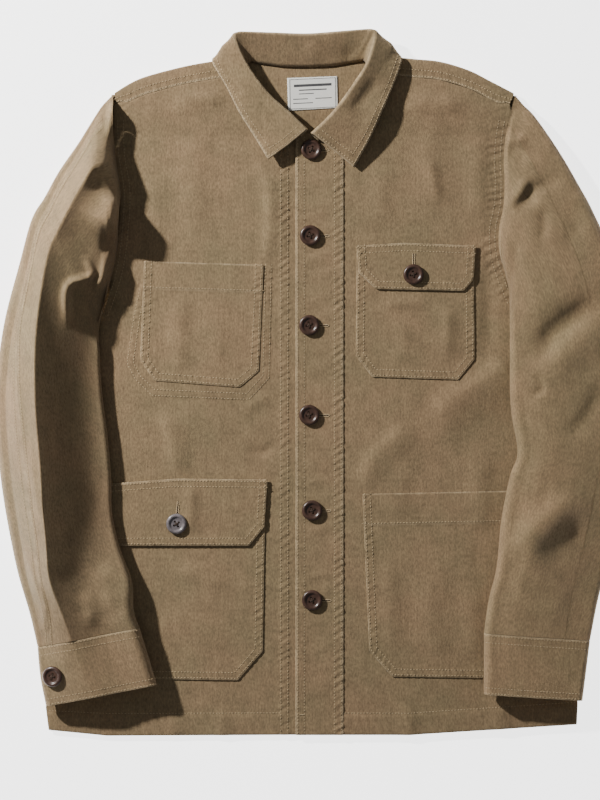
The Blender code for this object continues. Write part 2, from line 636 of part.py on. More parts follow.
def hole_cutter():
    """Four pins in a square, joined as one cutter, at the origin."""
    if "button_holes" in bpy.data.objects:
        return bpy.data.objects["button_holes"]
    verts, faces = [], []
    sides = 5
    for cx, cy in ((1, 1), (-1, 1), (-1, -1), (1, -1)):
        base = len(verts)
        for z in (-2, 6):
            for k in range(sides):
                angle = 2 * math.pi * k / sides
                x = (cx * BUTTON_HOLE_SPREAD + BUTTON_HOLE_RADIUS * math.cos(angle)) * MM
                y = (cy * BUTTON_HOLE_SPREAD + BUTTON_HOLE_RADIUS * math.sin(angle)) * MM
                verts.append((x, y, z * MM))
        faces.append([base + k for k in range(sides)][::-1])
        faces.append([base + sides + k for k in range(sides)])
        for k in range(sides):
            n = (k + 1) % sides
            faces.append([base + k, base + n, base + sides + n, base + sides + k])
    mesh = bpy.data.meshes.new("button_holes")
    mesh.from_pydata(verts, [], faces)
    cutter = bpy.data.objects.new("button_holes", mesh)
    cutter.hide_render = True
    cutter.display_type = "WIRE"
    cutters.objects.link(cutter)
    return cutter


def bake_button(button, placed, tilt):
    """Turn the modifiers into a mesh, so that the button can leave its cutter."""
    depsgraph = bpy.context.evaluated_depsgraph_get()
    mesh = bpy.data.meshes.new_from_object(button.evaluated_get(depsgraph))
    mesh.name = button.name
    button.modifiers.clear()
    button.data = mesh
    button.location = placed
    button.rotation_euler = (0, tilt, 0)
    return button


clear_scene()
garment = bpy.data.collections.new("chore_jacket")
cutters = bpy.data.collections.new("cutters")
bpy.context.scene.collection.children.link(garment)
bpy.context.scene.collection.children.link(cutters)
khaki = cloth_material("khaki_twill", (0.31, 0.225, 0.135), 0.85)
button_brown = cloth_material("button_brown", (0.035, 0.018, 0.012), 0.22)
label_white = cloth_material("label_white", (0.82, 0.81, 0.78), 0.7)

make_back()
panel("front_right", front_outline("right", NECK_RIGHT, OVERLAP_RIGHT_X), front_height("right"), khaki)
panel("front_left", front_outline("left", NECK_LEFT, OVERLAP_LEFT_X), front_height("left"), khaki)
placket = [(OVERLAP_LEFT_X, 261), (OVERLAP_LEFT_X, -368), (PLACKET_RIGHT_X, -368), (PLACKET_RIGHT_X, 273.5), (8, 261.5)]
panel("placket_left", placket, front_height("left", 1), khaki, spacing=30)
make_collar()
for side, table in (("right", SLEEVE_RIGHT), ("left", SLEEVE_LEFT)):
    rings = blend_rings(table, 24)
    tube_piece(f"sleeve_{side}_upper", rings, side, BACK_SEAM, INNER_SEAM, khaki)
    tube_piece(f"sleeve_{side}_under", rings, side, INNER_SEAM, BACK_SEAM, khaki)
for side, table in (("right", CUFF_RIGHT), ("left", CUFF_LEFT)):
    tube_piece(f"cuff_{side}", blend_rings(table, 4), side, 0, 0, khaki, dip=False, thickness=2 * CLOTH)
panel("chest_pocket_right", CHEST_POCKET_RIGHT, front_height("right", 1), khaki)
panel("chest_pocket_left", CHEST_POCKET_LEFT, front_height("left", 1), khaki)
panel("chest_flap_left", CHEST_FLAP_LEFT, front_height("left", 2), khaki)
panel("hip_pocket_right", HIP_POCKET_RIGHT, front_height("right", 1), khaki)
panel("hip_flap_right", HIP_FLAP_RIGHT, front_height("right", 2), khaki)
panel("hip_pocket_left", HIP_POCKET_LEFT, front_height("left", 1), khaki)
panel("neck_label", NECK_LABEL, lambda x, y: back_height(x, y) + LAYER, label_white, LABEL_CLOTH, spacing=16)

button_lift = CLOTH + 2 * CLEARANCE
on_placket = front_height("left", 1)
for number, (x, y) in enumerate(FRONT_BUTTON_POINTS, 1):
    make_button(f"front_button_{number}", x, y, on_placket(x, y) + button_lift)
x, y = CHEST_FLAP_BUTTON
make_button("chest_flap_button", x, y, front_height("left", 2)(x, y) + button_lift)
x, y = HIP_FLAP_BUTTON
make_button("hip_flap_button", x, y, front_height("right", 2)(x, y) + button_lift)
make_button("cuff_right_button", *CUFF_BUTTON_RIGHT, tilt=math.radians(-12))
make_button("cuff_left_button", *CUFF_BUTTON_LEFT, tilt=math.pi)
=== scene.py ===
import json
import math
import bpy
import numpy as np
from mathutils import Matrix, Vector

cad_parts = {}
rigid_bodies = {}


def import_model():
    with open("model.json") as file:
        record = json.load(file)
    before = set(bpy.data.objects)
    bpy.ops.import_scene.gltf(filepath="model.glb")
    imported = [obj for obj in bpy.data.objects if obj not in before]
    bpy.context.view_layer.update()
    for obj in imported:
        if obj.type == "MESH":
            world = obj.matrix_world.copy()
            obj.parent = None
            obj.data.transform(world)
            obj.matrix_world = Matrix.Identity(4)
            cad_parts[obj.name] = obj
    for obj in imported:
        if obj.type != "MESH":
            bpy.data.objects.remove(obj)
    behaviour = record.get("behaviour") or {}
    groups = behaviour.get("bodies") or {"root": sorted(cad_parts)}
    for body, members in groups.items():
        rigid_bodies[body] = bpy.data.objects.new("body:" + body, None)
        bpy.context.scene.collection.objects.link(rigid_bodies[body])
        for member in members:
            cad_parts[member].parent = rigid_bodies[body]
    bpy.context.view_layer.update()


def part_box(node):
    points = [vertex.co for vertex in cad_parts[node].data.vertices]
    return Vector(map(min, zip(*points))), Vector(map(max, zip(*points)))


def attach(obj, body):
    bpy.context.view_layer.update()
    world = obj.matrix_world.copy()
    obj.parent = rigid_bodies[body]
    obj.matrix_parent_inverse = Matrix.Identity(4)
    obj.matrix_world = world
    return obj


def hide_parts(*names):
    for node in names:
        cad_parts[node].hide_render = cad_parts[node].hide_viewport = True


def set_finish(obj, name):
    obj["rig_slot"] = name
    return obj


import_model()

mm = 0.001
centreShiftY = -0.43

# cloth and layers, in millimetres
layers = {
    "cloth": 1.2,
    "gap": 0.3,
    "frontBottomRight": 2.0,
    "frontBottomLeft": 3.5,
    "collarLift": 2.5,
    "raiseStart": 260,
    "raiseEnd": 285,
}
layerStep = layers["cloth"] + layers["gap"]


# small geometry helpers, all in millimetres

def smooth(value, start, end):
    t = np.clip((np.asarray(value, float) - start) / (end - start), 0, 1)
    return t * t * (3 - 2 * t)


def splineRows(rows, t):
    rows = np.asarray(rows, float)
    last = len(rows) - 1
    place = np.clip(np.asarray(t, float) * last, 0, last - 1e-9)
    i = place.astype(int)
    f = (place - i)[:, None]
    p0, p1, p2, p3 = (rows[np.clip(i + k, 0, last)] for k in (-1, 0, 1, 2))
    return 0.5 * (2 * p1 + (p2 - p0) * f + (2 * p0 - 5 * p1 + 4 * p2 - p3) * f * f
                  + (3 * p1 - p0 - 3 * p2 + p3) * f ** 3)


def evenly(line, count):
    line = np.asarray(line, float)
    steps = np.hypot(*np.diff(line[:, :2], axis=0).T)
    reach = np.r_[0, np.cumsum(steps)]
    where = np.linspace(0, reach[-1], count)
    return np.stack([np.interp(where, reach, column) for column in line.T], axis=1)


def smoothLine(points, count):
    return evenly(splineRows(points, np.linspace(0, 1, 24 * len(points))), count)


def lineLength(line):
    return float(np.hypot(*np.diff(np.asarray(line, float)[:, :2], axis=0).T).sum())


def nearLine(line, x, y):
    # distance, length along, and side (+1 on the left of its direction) of each point
    best = np.full(np.shape(x), 1e9)
    along = np.zeros(np.shape(x))
    side = np.ones(np.shape(x))
    start = 0
    for a, b in zip(line[:-1], line[1:]):
        dx, dy = b[0] - a[0], b[1] - a[1]
        length = math.hypot(dx, dy)
        if length < 1e-6:
            continue
        t = np.clip(((x - a[0]) * dx + (y - a[1]) * dy) / length ** 2, 0, 1)
        px, py = x - a[0] - t * dx, y - a[1] - t * dy
        far = np.hypot(px, py)
        nearer = far < best
        best = np.where(nearer, far, best)
        along = np.where(nearer, start + t * length, along)
        side = np.where(nearer, np.where(dx * py - dy * px >= 0, 1, -1), side)
        start += length
    return best, along, side


def insetLine(line, inset):
    # the line moved to its left by the inset, corners kept
    line = np.asarray(line, float)
    tangent = np.diff(line, axis=0)
    tangent /= np.hypot(*tangent.T)[:, None]
    normal = np.stack([-tangent[:, 1], tangent[:, 0]], axis=1)
    first, last = normal[:1], normal[-1:]
    corner = normal[:-1] + normal[1:]
    corner /= (1 + (normal[:-1] * normal[1:]).sum(axis=1))[:, None]
    return line + inset * np.concatenate([first, corner, last])


def wander(s, seed, scale):
    # a slow, uneven number from -1 to 1 along a length
    return (np.sin(s / scale + seed * 1.7) + 0.7 * np.sin(s / scale * 2.3 + seed * 3.1)
            + 0.5 * np.sin(s / scale * 4.1 + seed * 5.3)) / 2.2


def foldHeights(x, y, folds):
    total = np.zeros(np.shape(x))
    for fold in folds:
        line = smoothLine(fold["path"], 14) if len(fold["path"]) > 2 else np.array(fold["path"], float)
        width, steep = fold["width"], fold.get("steep", 1)
        reach = 2.6 * width * max(1, steep)
        near = ((x > line[:, 0].min() - reach) & (x < line[:, 0].max() + reach)
                & (y > line[:, 1].min() - reach) & (y < line[:, 1].max() + reach))
        if not near.any():
            continue
        far, along, side = nearLine(line, x[near], y[near])
        spread = np.where(side > 0, width * steep, width)
        length = lineLength(line)
        head, tail = fold.get("ends", (0.35, 0.35))
        ends = smooth(along, 0, head * length) * (1 - smooth(along, (1 - tail) * length, length))
        shape = np.exp(-(far / spread) ** 2) if not fold.get("sharp") else np.exp(-(np.sqrt(far ** 2 + 0.5) / spread))
        total[near] += fold["height"] * shape * ends
    return total


def puckerHeights(x, y, seams):
    # short ripples lying across a seam, between and just beyond its stitch rows
    total = np.zeros(np.shape(x))
    for seam in seams:
        line = np.asarray(seam["line"], float)
        far, along, side = nearLine(line, x, y)
        away = far * side - seam.get("offset", 0)
        band = np.exp(-(away / seam["reach"]) ** 4)
        seed = seam.get("seed", 1)
        phase = 2 * math.pi * along / seam["pitch"] + 2.2 * wander(along, seed, 17) + seam.get("slant",
            0.35) * away
        size = 0.6 + 0.5 * wander(along, seed + 4, 9)
        total += seam["height"] * band * size * np.cos(phase)
    return total


def collarRaise(y):
    return layers["collarLift"] * np.clip((y - layers["raiseStart"]) / (layers["raiseEnd"] - layers["raiseStart"]), 0, 1)


# meshes

def makePiece(name, verts, faces, material, uv=None, wear=None, quadsSmooth=True):
    verts = np.asarray(verts, float)
    shifted = (verts + np.array([0, centreShiftY, 0])) * mm
    mesh = bpy.data.meshes.new(name)
    mesh.from_pydata(shifted.tolist(), [], [list(f) for f in faces])
    mesh.materials.append(material)
    cornerVerts = np.empty(len(mesh.loops), dtype=np.int32)
    mesh.loops.foreach_get("vertex_index", cornerVerts)
    flat = verts[:, :2] if uv is None else np.asarray(uv, float)
    layer = mesh.uv_layers.new(name="cloth")
    layer.data.foreach_set("uv", (flat[cornerVerts] * mm).astype(np.float32).ravel())
    worn = mesh.attributes.new("wear", "FLOAT", "POINT")
    worn.data.foreach_set("value", np.zeros(len(verts), np.float32) if wear is None
                          else np.clip(wear, 0, 1).astype(np.float32))
    mesh.polygons.foreach_set("use_smooth", [quadsSmooth] * len(mesh.polygons))
    mesh.update()
    piece = bpy.data.objects.new(name, mesh)
    jacket.objects.link(piece)
    return piece


def gridFaces(rows, columns, start=0):
    i, j = np.meshgrid(np.arange(rows - 1), np.arange(columns - 1), indexing="ij")
    a = (start + i * columns + j).ravel()
    return np.stack([a, a + 1, a + columns + 1, a + columns], axis=1)


def patch(left, right, bottom, top, spacing):
    # an even net of points between four edges; left and right run upwards, bottom and top to the right
    rows = int(max(lineLength(left), lineLength(right)) / spacing) + 2
    columns = int(max(lineLength(bottom), lineLength(top)) / spacing) + 2
    left, right = evenly(left, rows), evenly(right, rows)
    bottom, top = evenly(bottom, columns), evenly(top, columns)
    u = np.linspace(0, 1, columns)[None, :, None]
    v = np.linspace(0, 1, rows)[:, None, None]
    ruled = left[:, None] * (1 - u) + right[:, None] * u + bottom[None] * (1 - v) + top[None] * v
    corners = left[0] * (1 - u) * (1 - v) + right[0] * u * (1 - v) + left[-1] * (1 - u) * v + right[-1] * u * v
    return ruled - corners


def borderOf(rows, columns):
    bottom = np.arange(columns)
    right = np.arange(1, rows) * columns + columns - 1
    top = (rows - 1) * columns + np.arange(columns - 2, -1, -1)
    left = np.arange(rows - 2, 0, -1) * columns
    return np.concatenate([bottom, right, top, left])


def layPiece(name, net, heights, material, drop, wear=None, roll=0.45):
    # a cloth piece over its net: top surface, with its cut edge rolled down all round
    rows, columns = net.shape[:2]
    x, y = net[..., 0].ravel(), net[..., 1].ravel()
    z = heights(x, y)
    worn = np.zeros(len(x)) if wear is None else wear(x, y)
    loop = borderOf(rows, columns)
    around = np.roll(loop, -1), np.roll(loop, 1)
    tangent = np.stack([x[around[0]] - x[around[1]], y[around[0]] - y[around[1]]], axis=1)
    tangent /= np.maximum(1e-9, np.hypot(*tangent.T))[:, None]
    outward = np.stack([tangent[:, 1], -tangent[:, 0]], axis=1)
    verts = [np.stack([x, y, z], axis=1)]
    wears = [worn]
    faces = [gridFaces(rows, columns)]
    before, count = loop, rows * columns
    for out, down in ((0.5, 0.12), (0.9, 0.45), (1, 0.75), (0.9, 1)):
        ring = np.stack([x[loop] + outward[:, 0] * roll * out, y[loop] + outward[:, 1] * roll * out,
                         z[loop] - drop * down], axis=1)
        index = count + np.arange(len(loop))
        faces.append(np.stack([before, index, np.roll(index, -1), np.roll(before, -1)], axis=1))
        verts.append(ring)
        wears.append(worn[loop])
        before, count = index, count + len(loop)
    return makePiece(name, np.concatenate(verts), np.concatenate(faces), material, wear=np.concatenate(wears))


def withThickness(piece, thickness, offset=0):
    thick = piece.modifiers.new("cloth", "SOLIDIFY")
    thick.thickness = thickness * mm
    thick.offset = offset
    depsgraph = bpy.context.evaluated_depsgraph_get()
    mesh = bpy.data.meshes.new_from_object(piece.evaluated_get(depsgraph))
    piece.modifiers.clear()
    piece.data = mesh
    mesh.name = piece.name
    return piece


# materials

def nodeMaker(material):
    tree = material.node_tree

    def node(kind, inputs=None, **settings):
        made = tree.nodes.new(kind)
        for key, value in settings.items():
            setattr(made, key, value)
        for key, value in (inputs or {}).items():
            if isinstance(value, bpy.types.NodeSocket):
                tree.links.new(value, made.inputs[key])
            else:
                made.inputs[key].default_value = value
        return made
    return node


clothLook = {
    "olive": (0.262, 0.192, 0.103, 1),
    "russet": (0.305, 0.203, 0.112, 1),
    "worn": (0.52, 0.40, 0.245, 1),
    "roughness": 0.88,
    "twillScale": 520,
    "fleckScale": 620,
    "mottleScale": 70,
    "slubScale": 330,
    "cloudScale": 11,
    "sheen": 0.12,
}


def clothMaterial(name, look):
    material = bpy.data.materials.new(name)
    material.use_nodes = True
    node = nodeMaker(material)
    shader = material.node_tree.nodes["Principled BSDF"]
    link = material.node_tree.links.new
    uv = node("ShaderNodeUVMap", uv_map="cloth").outputs["UV"]
    clouds = node("ShaderNodeTexNoise", {"Vector": uv, "Scale": look["cloudScale"], "Detail": 3.0,
        "Roughness": 0.6})
    mottle = node("ShaderNodeTexNoise", {"Vector": uv, "Scale": look["mottleScale"], "Detail": 4.0,
        "Roughness": 0.65})
    stretched = node("ShaderNodeMapping", {"Vector": uv, "Scale": (1.0, 0.45, 1.0)}).outputs["Vector"]
    fleck = node("ShaderNodeTexNoise", {"Vector": stretched, "Scale": look["fleckScale"], "Detail": 2.0,
        "Roughness": 0.5})
    twill = node("ShaderNodeTexWave", {"Vector": uv, "Scale": look["twillScale"], "Distortion": 1.2,
        "Detail": 1.0},
                 bands_direction="DIAGONAL")
    cloudShare = node("ShaderNodeMapRange",
        {"Value": clouds.outputs["Fac"], "From Min": 0.35, "From Max": 0.65})
    base = node("ShaderNodeMix", {"Factor": cloudShare.outputs["Result"], 6: look["olive"],
        7: look["russet"]},
                data_type="RGBA")
    worn = node("ShaderNodeAttribute", attribute_name="wear").outputs["Fac"]
    grainShare = node("ShaderNodeMapRange",
        {"Value": fleck.outputs["Fac"], "From Min": 0.28, "From Max": 0.72,
                                             "To Min": 0.76, "To Max": 1.24})
    mottleShare = node("ShaderNodeMapRange",
        {"Value": mottle.outputs["Fac"], "From Min": 0.3, "From Max": 0.7,
                                              "To Min": 0.87, "To Max": 1.13})
    long = node("ShaderNodeMapping", {"Vector": uv, "Scale": (1.0, 0.09, 1.0)}).outputs["Vector"]
    slub = node("ShaderNodeTexNoise", {"Vector": long, "Scale": look["slubScale"], "Detail": 3.0,
        "Roughness": 0.6})
    slubShare = node("ShaderNodeMapRange", {"Value": slub.outputs["Fac"], "From Min": 0.3, "From Max": 0.7,
                                            "To Min": 0.9, "To Max": 1.1})
    patches = node("ShaderNodeMath", {0: slubShare.outputs["Result"], 1: mottleShare.outputs["Result"]},
                   operation="MULTIPLY")
    shareBoth = node("ShaderNodeMath", {0: grainShare.outputs["Result"], 1: patches.outputs[0]},
                     operation="MULTIPLY")
    wornNoise = node("ShaderNodeMapRange", {"Value": mottle.outputs["Fac"], "From Min": 0.3, "From Max": 0.7,
                                            "To Min": 0.55, "To Max": 1.2})
    wornShare = node("ShaderNodeMath", {0: worn, 1: wornNoise.outputs["Result"]}, operation="MULTIPLY")
    wornShare.use_clamp = True
    coloured = node("ShaderNodeMix", {"Factor": wornShare.outputs[0], 6: base.outputs[2], 7: look["worn"]},
                    data_type="RGBA")
    final = node("ShaderNodeVectorMath", {0: coloured.outputs[2]}, operation="SCALE")
    link(shareBoth.outputs[0], final.inputs["Scale"])
    link(final.outputs[0], shader.inputs["Base Color"])
    relief = node("ShaderNodeMath", {0: fleck.outputs["Fac"], 1: twill.outputs["Fac"]}, operation="ADD")
    bump = node("ShaderNodeBump", {"Height": relief.outputs[0], "Strength": 0.55, "Distance": 0.0006})
    link(bump.outputs["Normal"], shader.inputs["Normal"])
    shader.inputs["Roughness"].default_value = look["roughness"]
    shader.inputs["Sheen Weight"].default_value = look["sheen"]
    shader.inputs["Sheen Roughness"].default_value = 0.5
    shader.inputs["Specular IOR Level"].default_value = 0.25
    return material


def plainMaterial(name, colour, roughness, fleckScale, variation, bumpDistance, specular=0.4):
    material = bpy.data.materials.new(name)
    material.use_nodes = True
    node = nodeMaker(material)
    shader = material.node_tree.nodes["Principled BSDF"]
    link = material.node_tree.links.new
    place = node("ShaderNodeTexCoord").outputs["Object"]
    fleck = node("ShaderNodeTexNoise", {"Vector": place, "Scale": fleckScale, "Detail": 3.0})
    share = node("ShaderNodeMapRange", {"Value": fleck.outputs["Fac"], "From Min": 0.3, "From Max": 0.7,
                                        "To Min": 1 - variation, "To Max": 1 + variation})
    tone = node("ShaderNodeVectorMath", {0: colour[:3]}, operation="SCALE")
    link(share.outputs["Result"], tone.inputs["Scale"])
    link(tone.outputs[0], shader.inputs["Base Color"])
    bump = node("ShaderNodeBump", {"Height": fleck.outputs["Fac"], "Strength": 0.3, "Distance": bumpDistance})
    link(bump.outputs["Normal"], shader.inputs["Normal"])
    shader.inputs["Roughness"].default_value = roughness
    shader.inputs["Specular IOR Level"].default_value = specular
    return material


jacket = bpy.data.collections.new("choreJacket")
bpy.context.scene.collection.children.link(jacket)
khakiTwill = clothMaterial("khakiTwill", clothLook)
labelCloth = plainMaterial("labelCloth", (0.80, 0.79, 0.75), 0.75, 900, 0.04, 0.0002)
labelInk = plainMaterial("labelInk", (0.06, 0.06, 0.065), 0.8, 900, 0.2, 0.0001)
hornBrown = plainMaterial("hornBrown", (0.058, 0.030, 0.021), 0.33, 260, 0.35, 0.0001, 0.5)
hornGrey = plainMaterial("hornGrey", (0.155, 0.135, 0.140), 0.33, 260, 0.35, 0.0001, 0.5)
tanThread = plainMaterial("tanThread", (0.50, 0.385, 0.235), 0.8, 1500, 0.15, 0.0002, 0.3)
# dark thread for the button threads; the same dark colour also paints the shade in the buttonhole slits
darkThreadAndSlitShade = plainMaterial("darkThreadAndSlitShade", (0.05, 0.03, 0.02), 0.7, 1500, 0.2, 0.0002, 0.3)
print("materials ready")


# the body's lines

shoulderRight = [(-81, 340), (-121, 334), (-149, 328), (-178, 320), (-194, 313), (-210, 303)]
armholeRight = [(-210, 303), (-209, 243), (-203, 198), (-207, 142), (-214, 107), (-227, 71), (-247, 56),
    (-270, 51)]
shoulderLeft = [(63, 342), (101, 338), (131, 335), (161, 326), (183, 315), (208, 302)]
armholeLeft = [(208, 302), (200, 266), (197, 237), (198, 214), (197, 187), (192, 161), (193, 135),
    (201, 110), (210, 88),
               (231, 61), (257, 51)]
backNeck = [(-81, 340), (-65, 338), (-40, 334), (-13, 333), (20, 334), (45, 337), (63, 342)]
sideRight = [(-270, 51), (-277, -150), (-282, -340), (-279, -363)]
sideLeft = [(257, 51), (268, -150), (275, -335), (274, -357)]
armholeCurveRight = splineRows(armholeRight, np.linspace(0, 1, 49))
armholeCurveLeft = splineRows(armholeLeft, np.linspace(0, 1, 61))

# broad folds of the two fronts, each from one end to the other
bodyFolds = [
    {"path": [(-120, 90), (-115, 10), (-110, -90)], "width": 45, "height": 1.1},
    {"path": [(-100, -180), (-105, -350)], "width": 45, "height": 1.1},
    {"path": [(105, 110), (115, -80)], "width": 45, "height": 0.9},
    {"path": [(140, -130), (155, -340)], "width": 45, "height": 0.9},
    # wearer's right: chest, pocket, waist and hip
    {"path": [(-124, 285), (-127, 220), (-122, 130)], "width": 15, "height": 1.5},
    {"path": [(-66, 250), (-48, 205), (-48, 150), (-55, 110)], "width": 7, "steep": 2.2, "height": 2.2},
    {"path": [(-150, 297), (-110, 297), (-92, 290)], "width": 9, "height": 2.2},
    {"path": [(85, 292), (125, 294), (165, 290)], "width": 9, "height": 2.0},
    {"path": [(118, 245), (124, 215), (130, 182)], "width": 7, "height": 1.4},
    {"path": [(-160, 230), (-168, 190), (-160, 150)], "width": 13, "height": 1.2},
    {"path": [(-141, 100), (-143, 55), (-139, 8)], "width": 11, "height": 1.6},
    {"path": [(-105, 90), (-101, 50), (-106, 5)], "width": 9, "height": 0.8},
    {"path": [(-155, -20), (-150, -60), (-142, -105)], "width": 8, "steep": 2.2, "height": 2.2},
    {"path": [(-76, -68), (-55, -72), (-38, -60)], "width": 5, "height": -1.2},
    {"path": [(-80, -30), (-62, -20), (-45, -10)], "width": 7, "height": 1.0},
    {"path": [(-133, -100), (-130, -128), (-132, -165)], "width": 8, "height": 1.8},
    {"path": [(-150, -190), (-120, -200), (-92, -222)], "width": 10, "height": 1.6},
    {"path": [(-165, -240), (-125, -262), (-105, -290)], "width": 14, "height": 1.2},
    {"path": [(-98, -335), (-96, -372)], "width": 7, "height": 1.2, "ends": (0.4, 0.1)},
    {"path": [(-150, -330), (-146, -370)], "width": 10, "height": 0.9, "ends": (0.4, 0.1)},
    # wearer's left: chest, pocket, waist and hip
    {"path": [(128, 300), (120, 240), (126, 165)], "width": 16, "height": 1.3},
    {"path": [(75, 235), (68, 200), (72, 160)], "width": 12, "height": 1.2},
    {"path": [(176, 280), (170, 220), (176, 150)], "width": 12, "height": 1.4},
    {"path": [(65, 82), (95, 84), (120, 80)], "width": 6, "height": 1.2},
    {"path": [(138, 90), (139, 50), (137, 15)], "width": 8, "height": 1.5},
    {"path": [(90, 75), (92, 40), (88, 12)], "width": 9, "height": 0.8},
    {"path": [(181, 140), (182, 80), (180, 15)], "width": 9, "height": -1.5},
    {"path": [(208, 22), (180, 2), (140, -22), (128, -75)], "width": 13, "steep": 2.0, "height": 3.6,
        "ends": (0.1, 0.5)},
    {"path": [(115, -42), (80, -62), (60, -85), (52, -125)], "width": 11, "steep": 1.8, "height": 2.6},
    {"path": [(110, -80), (90, -100), (84, -150)], "width": 14, "height": 1.2},
    {"path": [(178, -60), (172, -110), (180, -160)], "width": 13, "height": 1.6},
    {"path": [(75, -170), (78, -230), (86, -290)], "width": 12, "height": 1.4},
    {"path": [(130, -180), (122, -235), (128, -300)], "width": 15, "height": 1.3},
    {"path": [(170, -200), (165, -250), (172, -300)], "width": 12, "height": 1.3},
    {"path": [(95, -330), (98, -372)], "width": 9, "height": 1.1, "ends": (0.4, 0.1)},
    {"path": [(190, -325), (196, -368)], "width": 11, "height": 1.2, "ends": (0.4, 0.1)},
]


def bodyRelief(x, y):
    return foldHeights(x, y, bodyFolds)


def shelf(line, x, y, inset, height):
    # the doubled cloth between an edge and its inner stitch row
    far, _, side = nearLine(line, x, y)
    return height * (1 - smooth(far, inset - 1.2, inset + 1.2)), far


# the two fronts

frontRight = {
    "spacing": 2.0,
    "outer": [(-279, -363), (-282, -340), (-277, -150), (-267, 50)],
    "hem": [(-279, -363), (-218, -369), (-20, -368), (12, -368)],
    "inner": [(12, -368), (12, 258), (-22, 261), (-49, 275), (-71, 298), (-82, 322.5)],
    "flat": (0.295, 0.70), "area": 0.172,
}
frontLeft = {
    "spacing": 2.0,
    "outer": [(274, -357), (275, -335), (268, -150), (254, 50)],
    "hem": [(-20, -368), (100, -368), (274, -357)],
    "inner": [(-20, -368), (-20, 261), (8, 262), (32, 277), (51, 300), (64, 324.5)],
    "flat": (0.296, 0.70), "area": 0.170,
}


def armholeSide(curve, shift, lowShift):
    line = curve[(curve[:, 1] > 52)][::-1].copy()
    line[:, 0] += np.where(line[:, 1] < 110, lowShift, shift)
    return line


def frontHeights(side, details):
    bottom = layers["frontBottomRight" if side == "right" else "frontBottomLeft"]

    def heights(x, y):
        return bottom + layers["cloth"] + collarRaise(y) + bodyRelief(x, y) + details(x, y)
    return heights


tipRight, tipLeft = (-208.5, 293.5), (203.5, 292.5)
seamRight = [(x, y - 17.45) for x, y in shoulderRight[:-1]] + [tipRight]
seamLeft = [(x, y - 17.45) for x, y in shoulderLeft[:-1]] + [tipLeft]
armRight = armholeSide(armholeCurveRight, -1.0, 1.5)
armLeft = armholeSide(armholeCurveLeft, 1.0, -1.5)
armRight = armRight[armRight[:, 1] < 290]
armLeft = armLeft[armLeft[:, 1] < 289]


frontRows = {
    "insideChest": [(-183.8, 98), (-189.5, 72), (-197, 21.5), (-188, 3.7), (-170.4, -12.5), (-69.3, -16.8),
        (-48.3, 5.8), (-45.7, 124.4)],
    "frontEdge": [(-32, -369), (-32, 262)],
    "hemRight": [(-279, -343), (-218, -346), (-37, -345.5)],
    "hemLeft": [(32, -345.5), (100, -345.5), (272, -334)],
}
armSeamRight = smoothLine(armholeRight[:6], 60)
armSeamLeft = smoothLine(armholeLeft[:9], 60)


def frontRightDetails(x, y):
    hem, _ = shelf([(-279, -367), (-218, -370), (12, -369)], x, y, 22, 0.5)
    ripples = puckerHeights(x, y, [
        {"line": frontRows["frontEdge"], "reach": 6.5, "pitch": 7.5, "height": 0.5, "seed": 2, "slant": 0.5},
        {"line": frontRows["frontEdge"], "offset": 10, "reach": 9, "pitch": 13, "height": 0.4, "seed": 12,
            "slant": -0.3},
        {"line": frontRows["hemRight"], "offset": -9, "reach": 13, "pitch": 11, "height": 0.3, "seed": 5},
        {"line": frontRows["insideChest"], "offset": 2, "reach": 5, "pitch": 8, "height": 0.22, "seed": 7},
        {"line": armSeamRight, "offset": 7, "reach": 8, "pitch": 8.5, "height": 0.4, "seed": 3},
    ])
    far, _, side = nearLine(frontRows["insideChest"], x, y)
    doubled = 0.5 * smooth(far * side, -1.2, 1.4) * (y < 124)
    band = 0.4 * np.exp(-((x + 32) / 5) ** 4)
    return hem + ripples + band + doubled * (x < -45)


def frontLeftDetails(x, y):
    hem, _ = shelf([(-20, -369), (100, -369), (274, -358)], x, y, 22, 0.5)
    return hem + puckerHeights(x, y, [
        {"line": frontRows["hemLeft"], "offset": -9, "reach": 13, "pitch": 11, "height": 0.3, "seed": 3},
        {"line": armSeamLeft, "offset": -8, "reach": 9, "pitch": 8.5, "height": 0.55, "seed": 8,
            "slant": 0.2},
        {"line": [(29.5, -368), (29.5, 270)], "offset": -5, "reach": 7, "pitch": 10, "height": 0.35,
            "seed": 14, "slant": -0.4},
    ])


netRight = patch(np.array(frontRight["outer"] + armRight.tolist() + [tipRight]),
    np.array(frontRight["inner"]),
                 np.array(frontRight["hem"]), np.array(seamRight[::-1][:-1] + [(-82, 322.5)]),
                     frontRight["spacing"])
frontRightPiece = layPiece("frontRight", netRight, frontHeights("right", frontRightDetails), khakiTwill, 1.1)
netLeft = patch(np.array(frontLeft["inner"]), np.array(frontLeft["outer"] + armLeft.tolist() + [tipLeft]),
                np.array(frontLeft["hem"]), np.array([(64, 324.5)] + seamLeft[1:]), frontLeft["spacing"])
frontLeftPiece = layPiece("frontLeft", netLeft, frontHeights("left", frontLeftDetails), khakiTwill, 1.1)
print("fronts laid")

def joinPieces(main, others):
    bpy.ops.object.select_all(action="DESELECT")
    for piece in [main] + others:
        piece.select_set(True)
    bpy.context.view_layer.objects.active = main
    bpy.ops.object.join()
    return main


def allowanceStrip(line, outward, level):
    # the seam allowance that runs from a front into the sleeve
    line = evenly(np.asarray(line, float), 90)
    edges = [insetLine(line, -outward * inset) for inset in (-2.6, 0.6, 3.6)]
    grid = np.stack([np.column_stack([edge, np.full(len(edge), level)]) for edge in edges])
    strip = makePiece("allowance", grid.reshape(-1, 3), gridFaces(*grid.shape[:2]), khakiTwill)
    return withThickness(strip, 0.4)


allowanceLevels = {"right": 1.62, "left": 2.5}
for piece, curve, outward, side in ((frontRightPiece, armholeCurveRight, -1, "right"),
    (frontLeftPiece, armholeCurveLeft, 1, "left")):
    rising = curve[np.argsort(curve[:, 1])]
    rising = rising[rising[:, 1] > 60]
    joinPieces(piece, [allowanceStrip(rising, outward, allowanceLevels[side])])

# the back, with a strip over each shoulder down to the forward seam

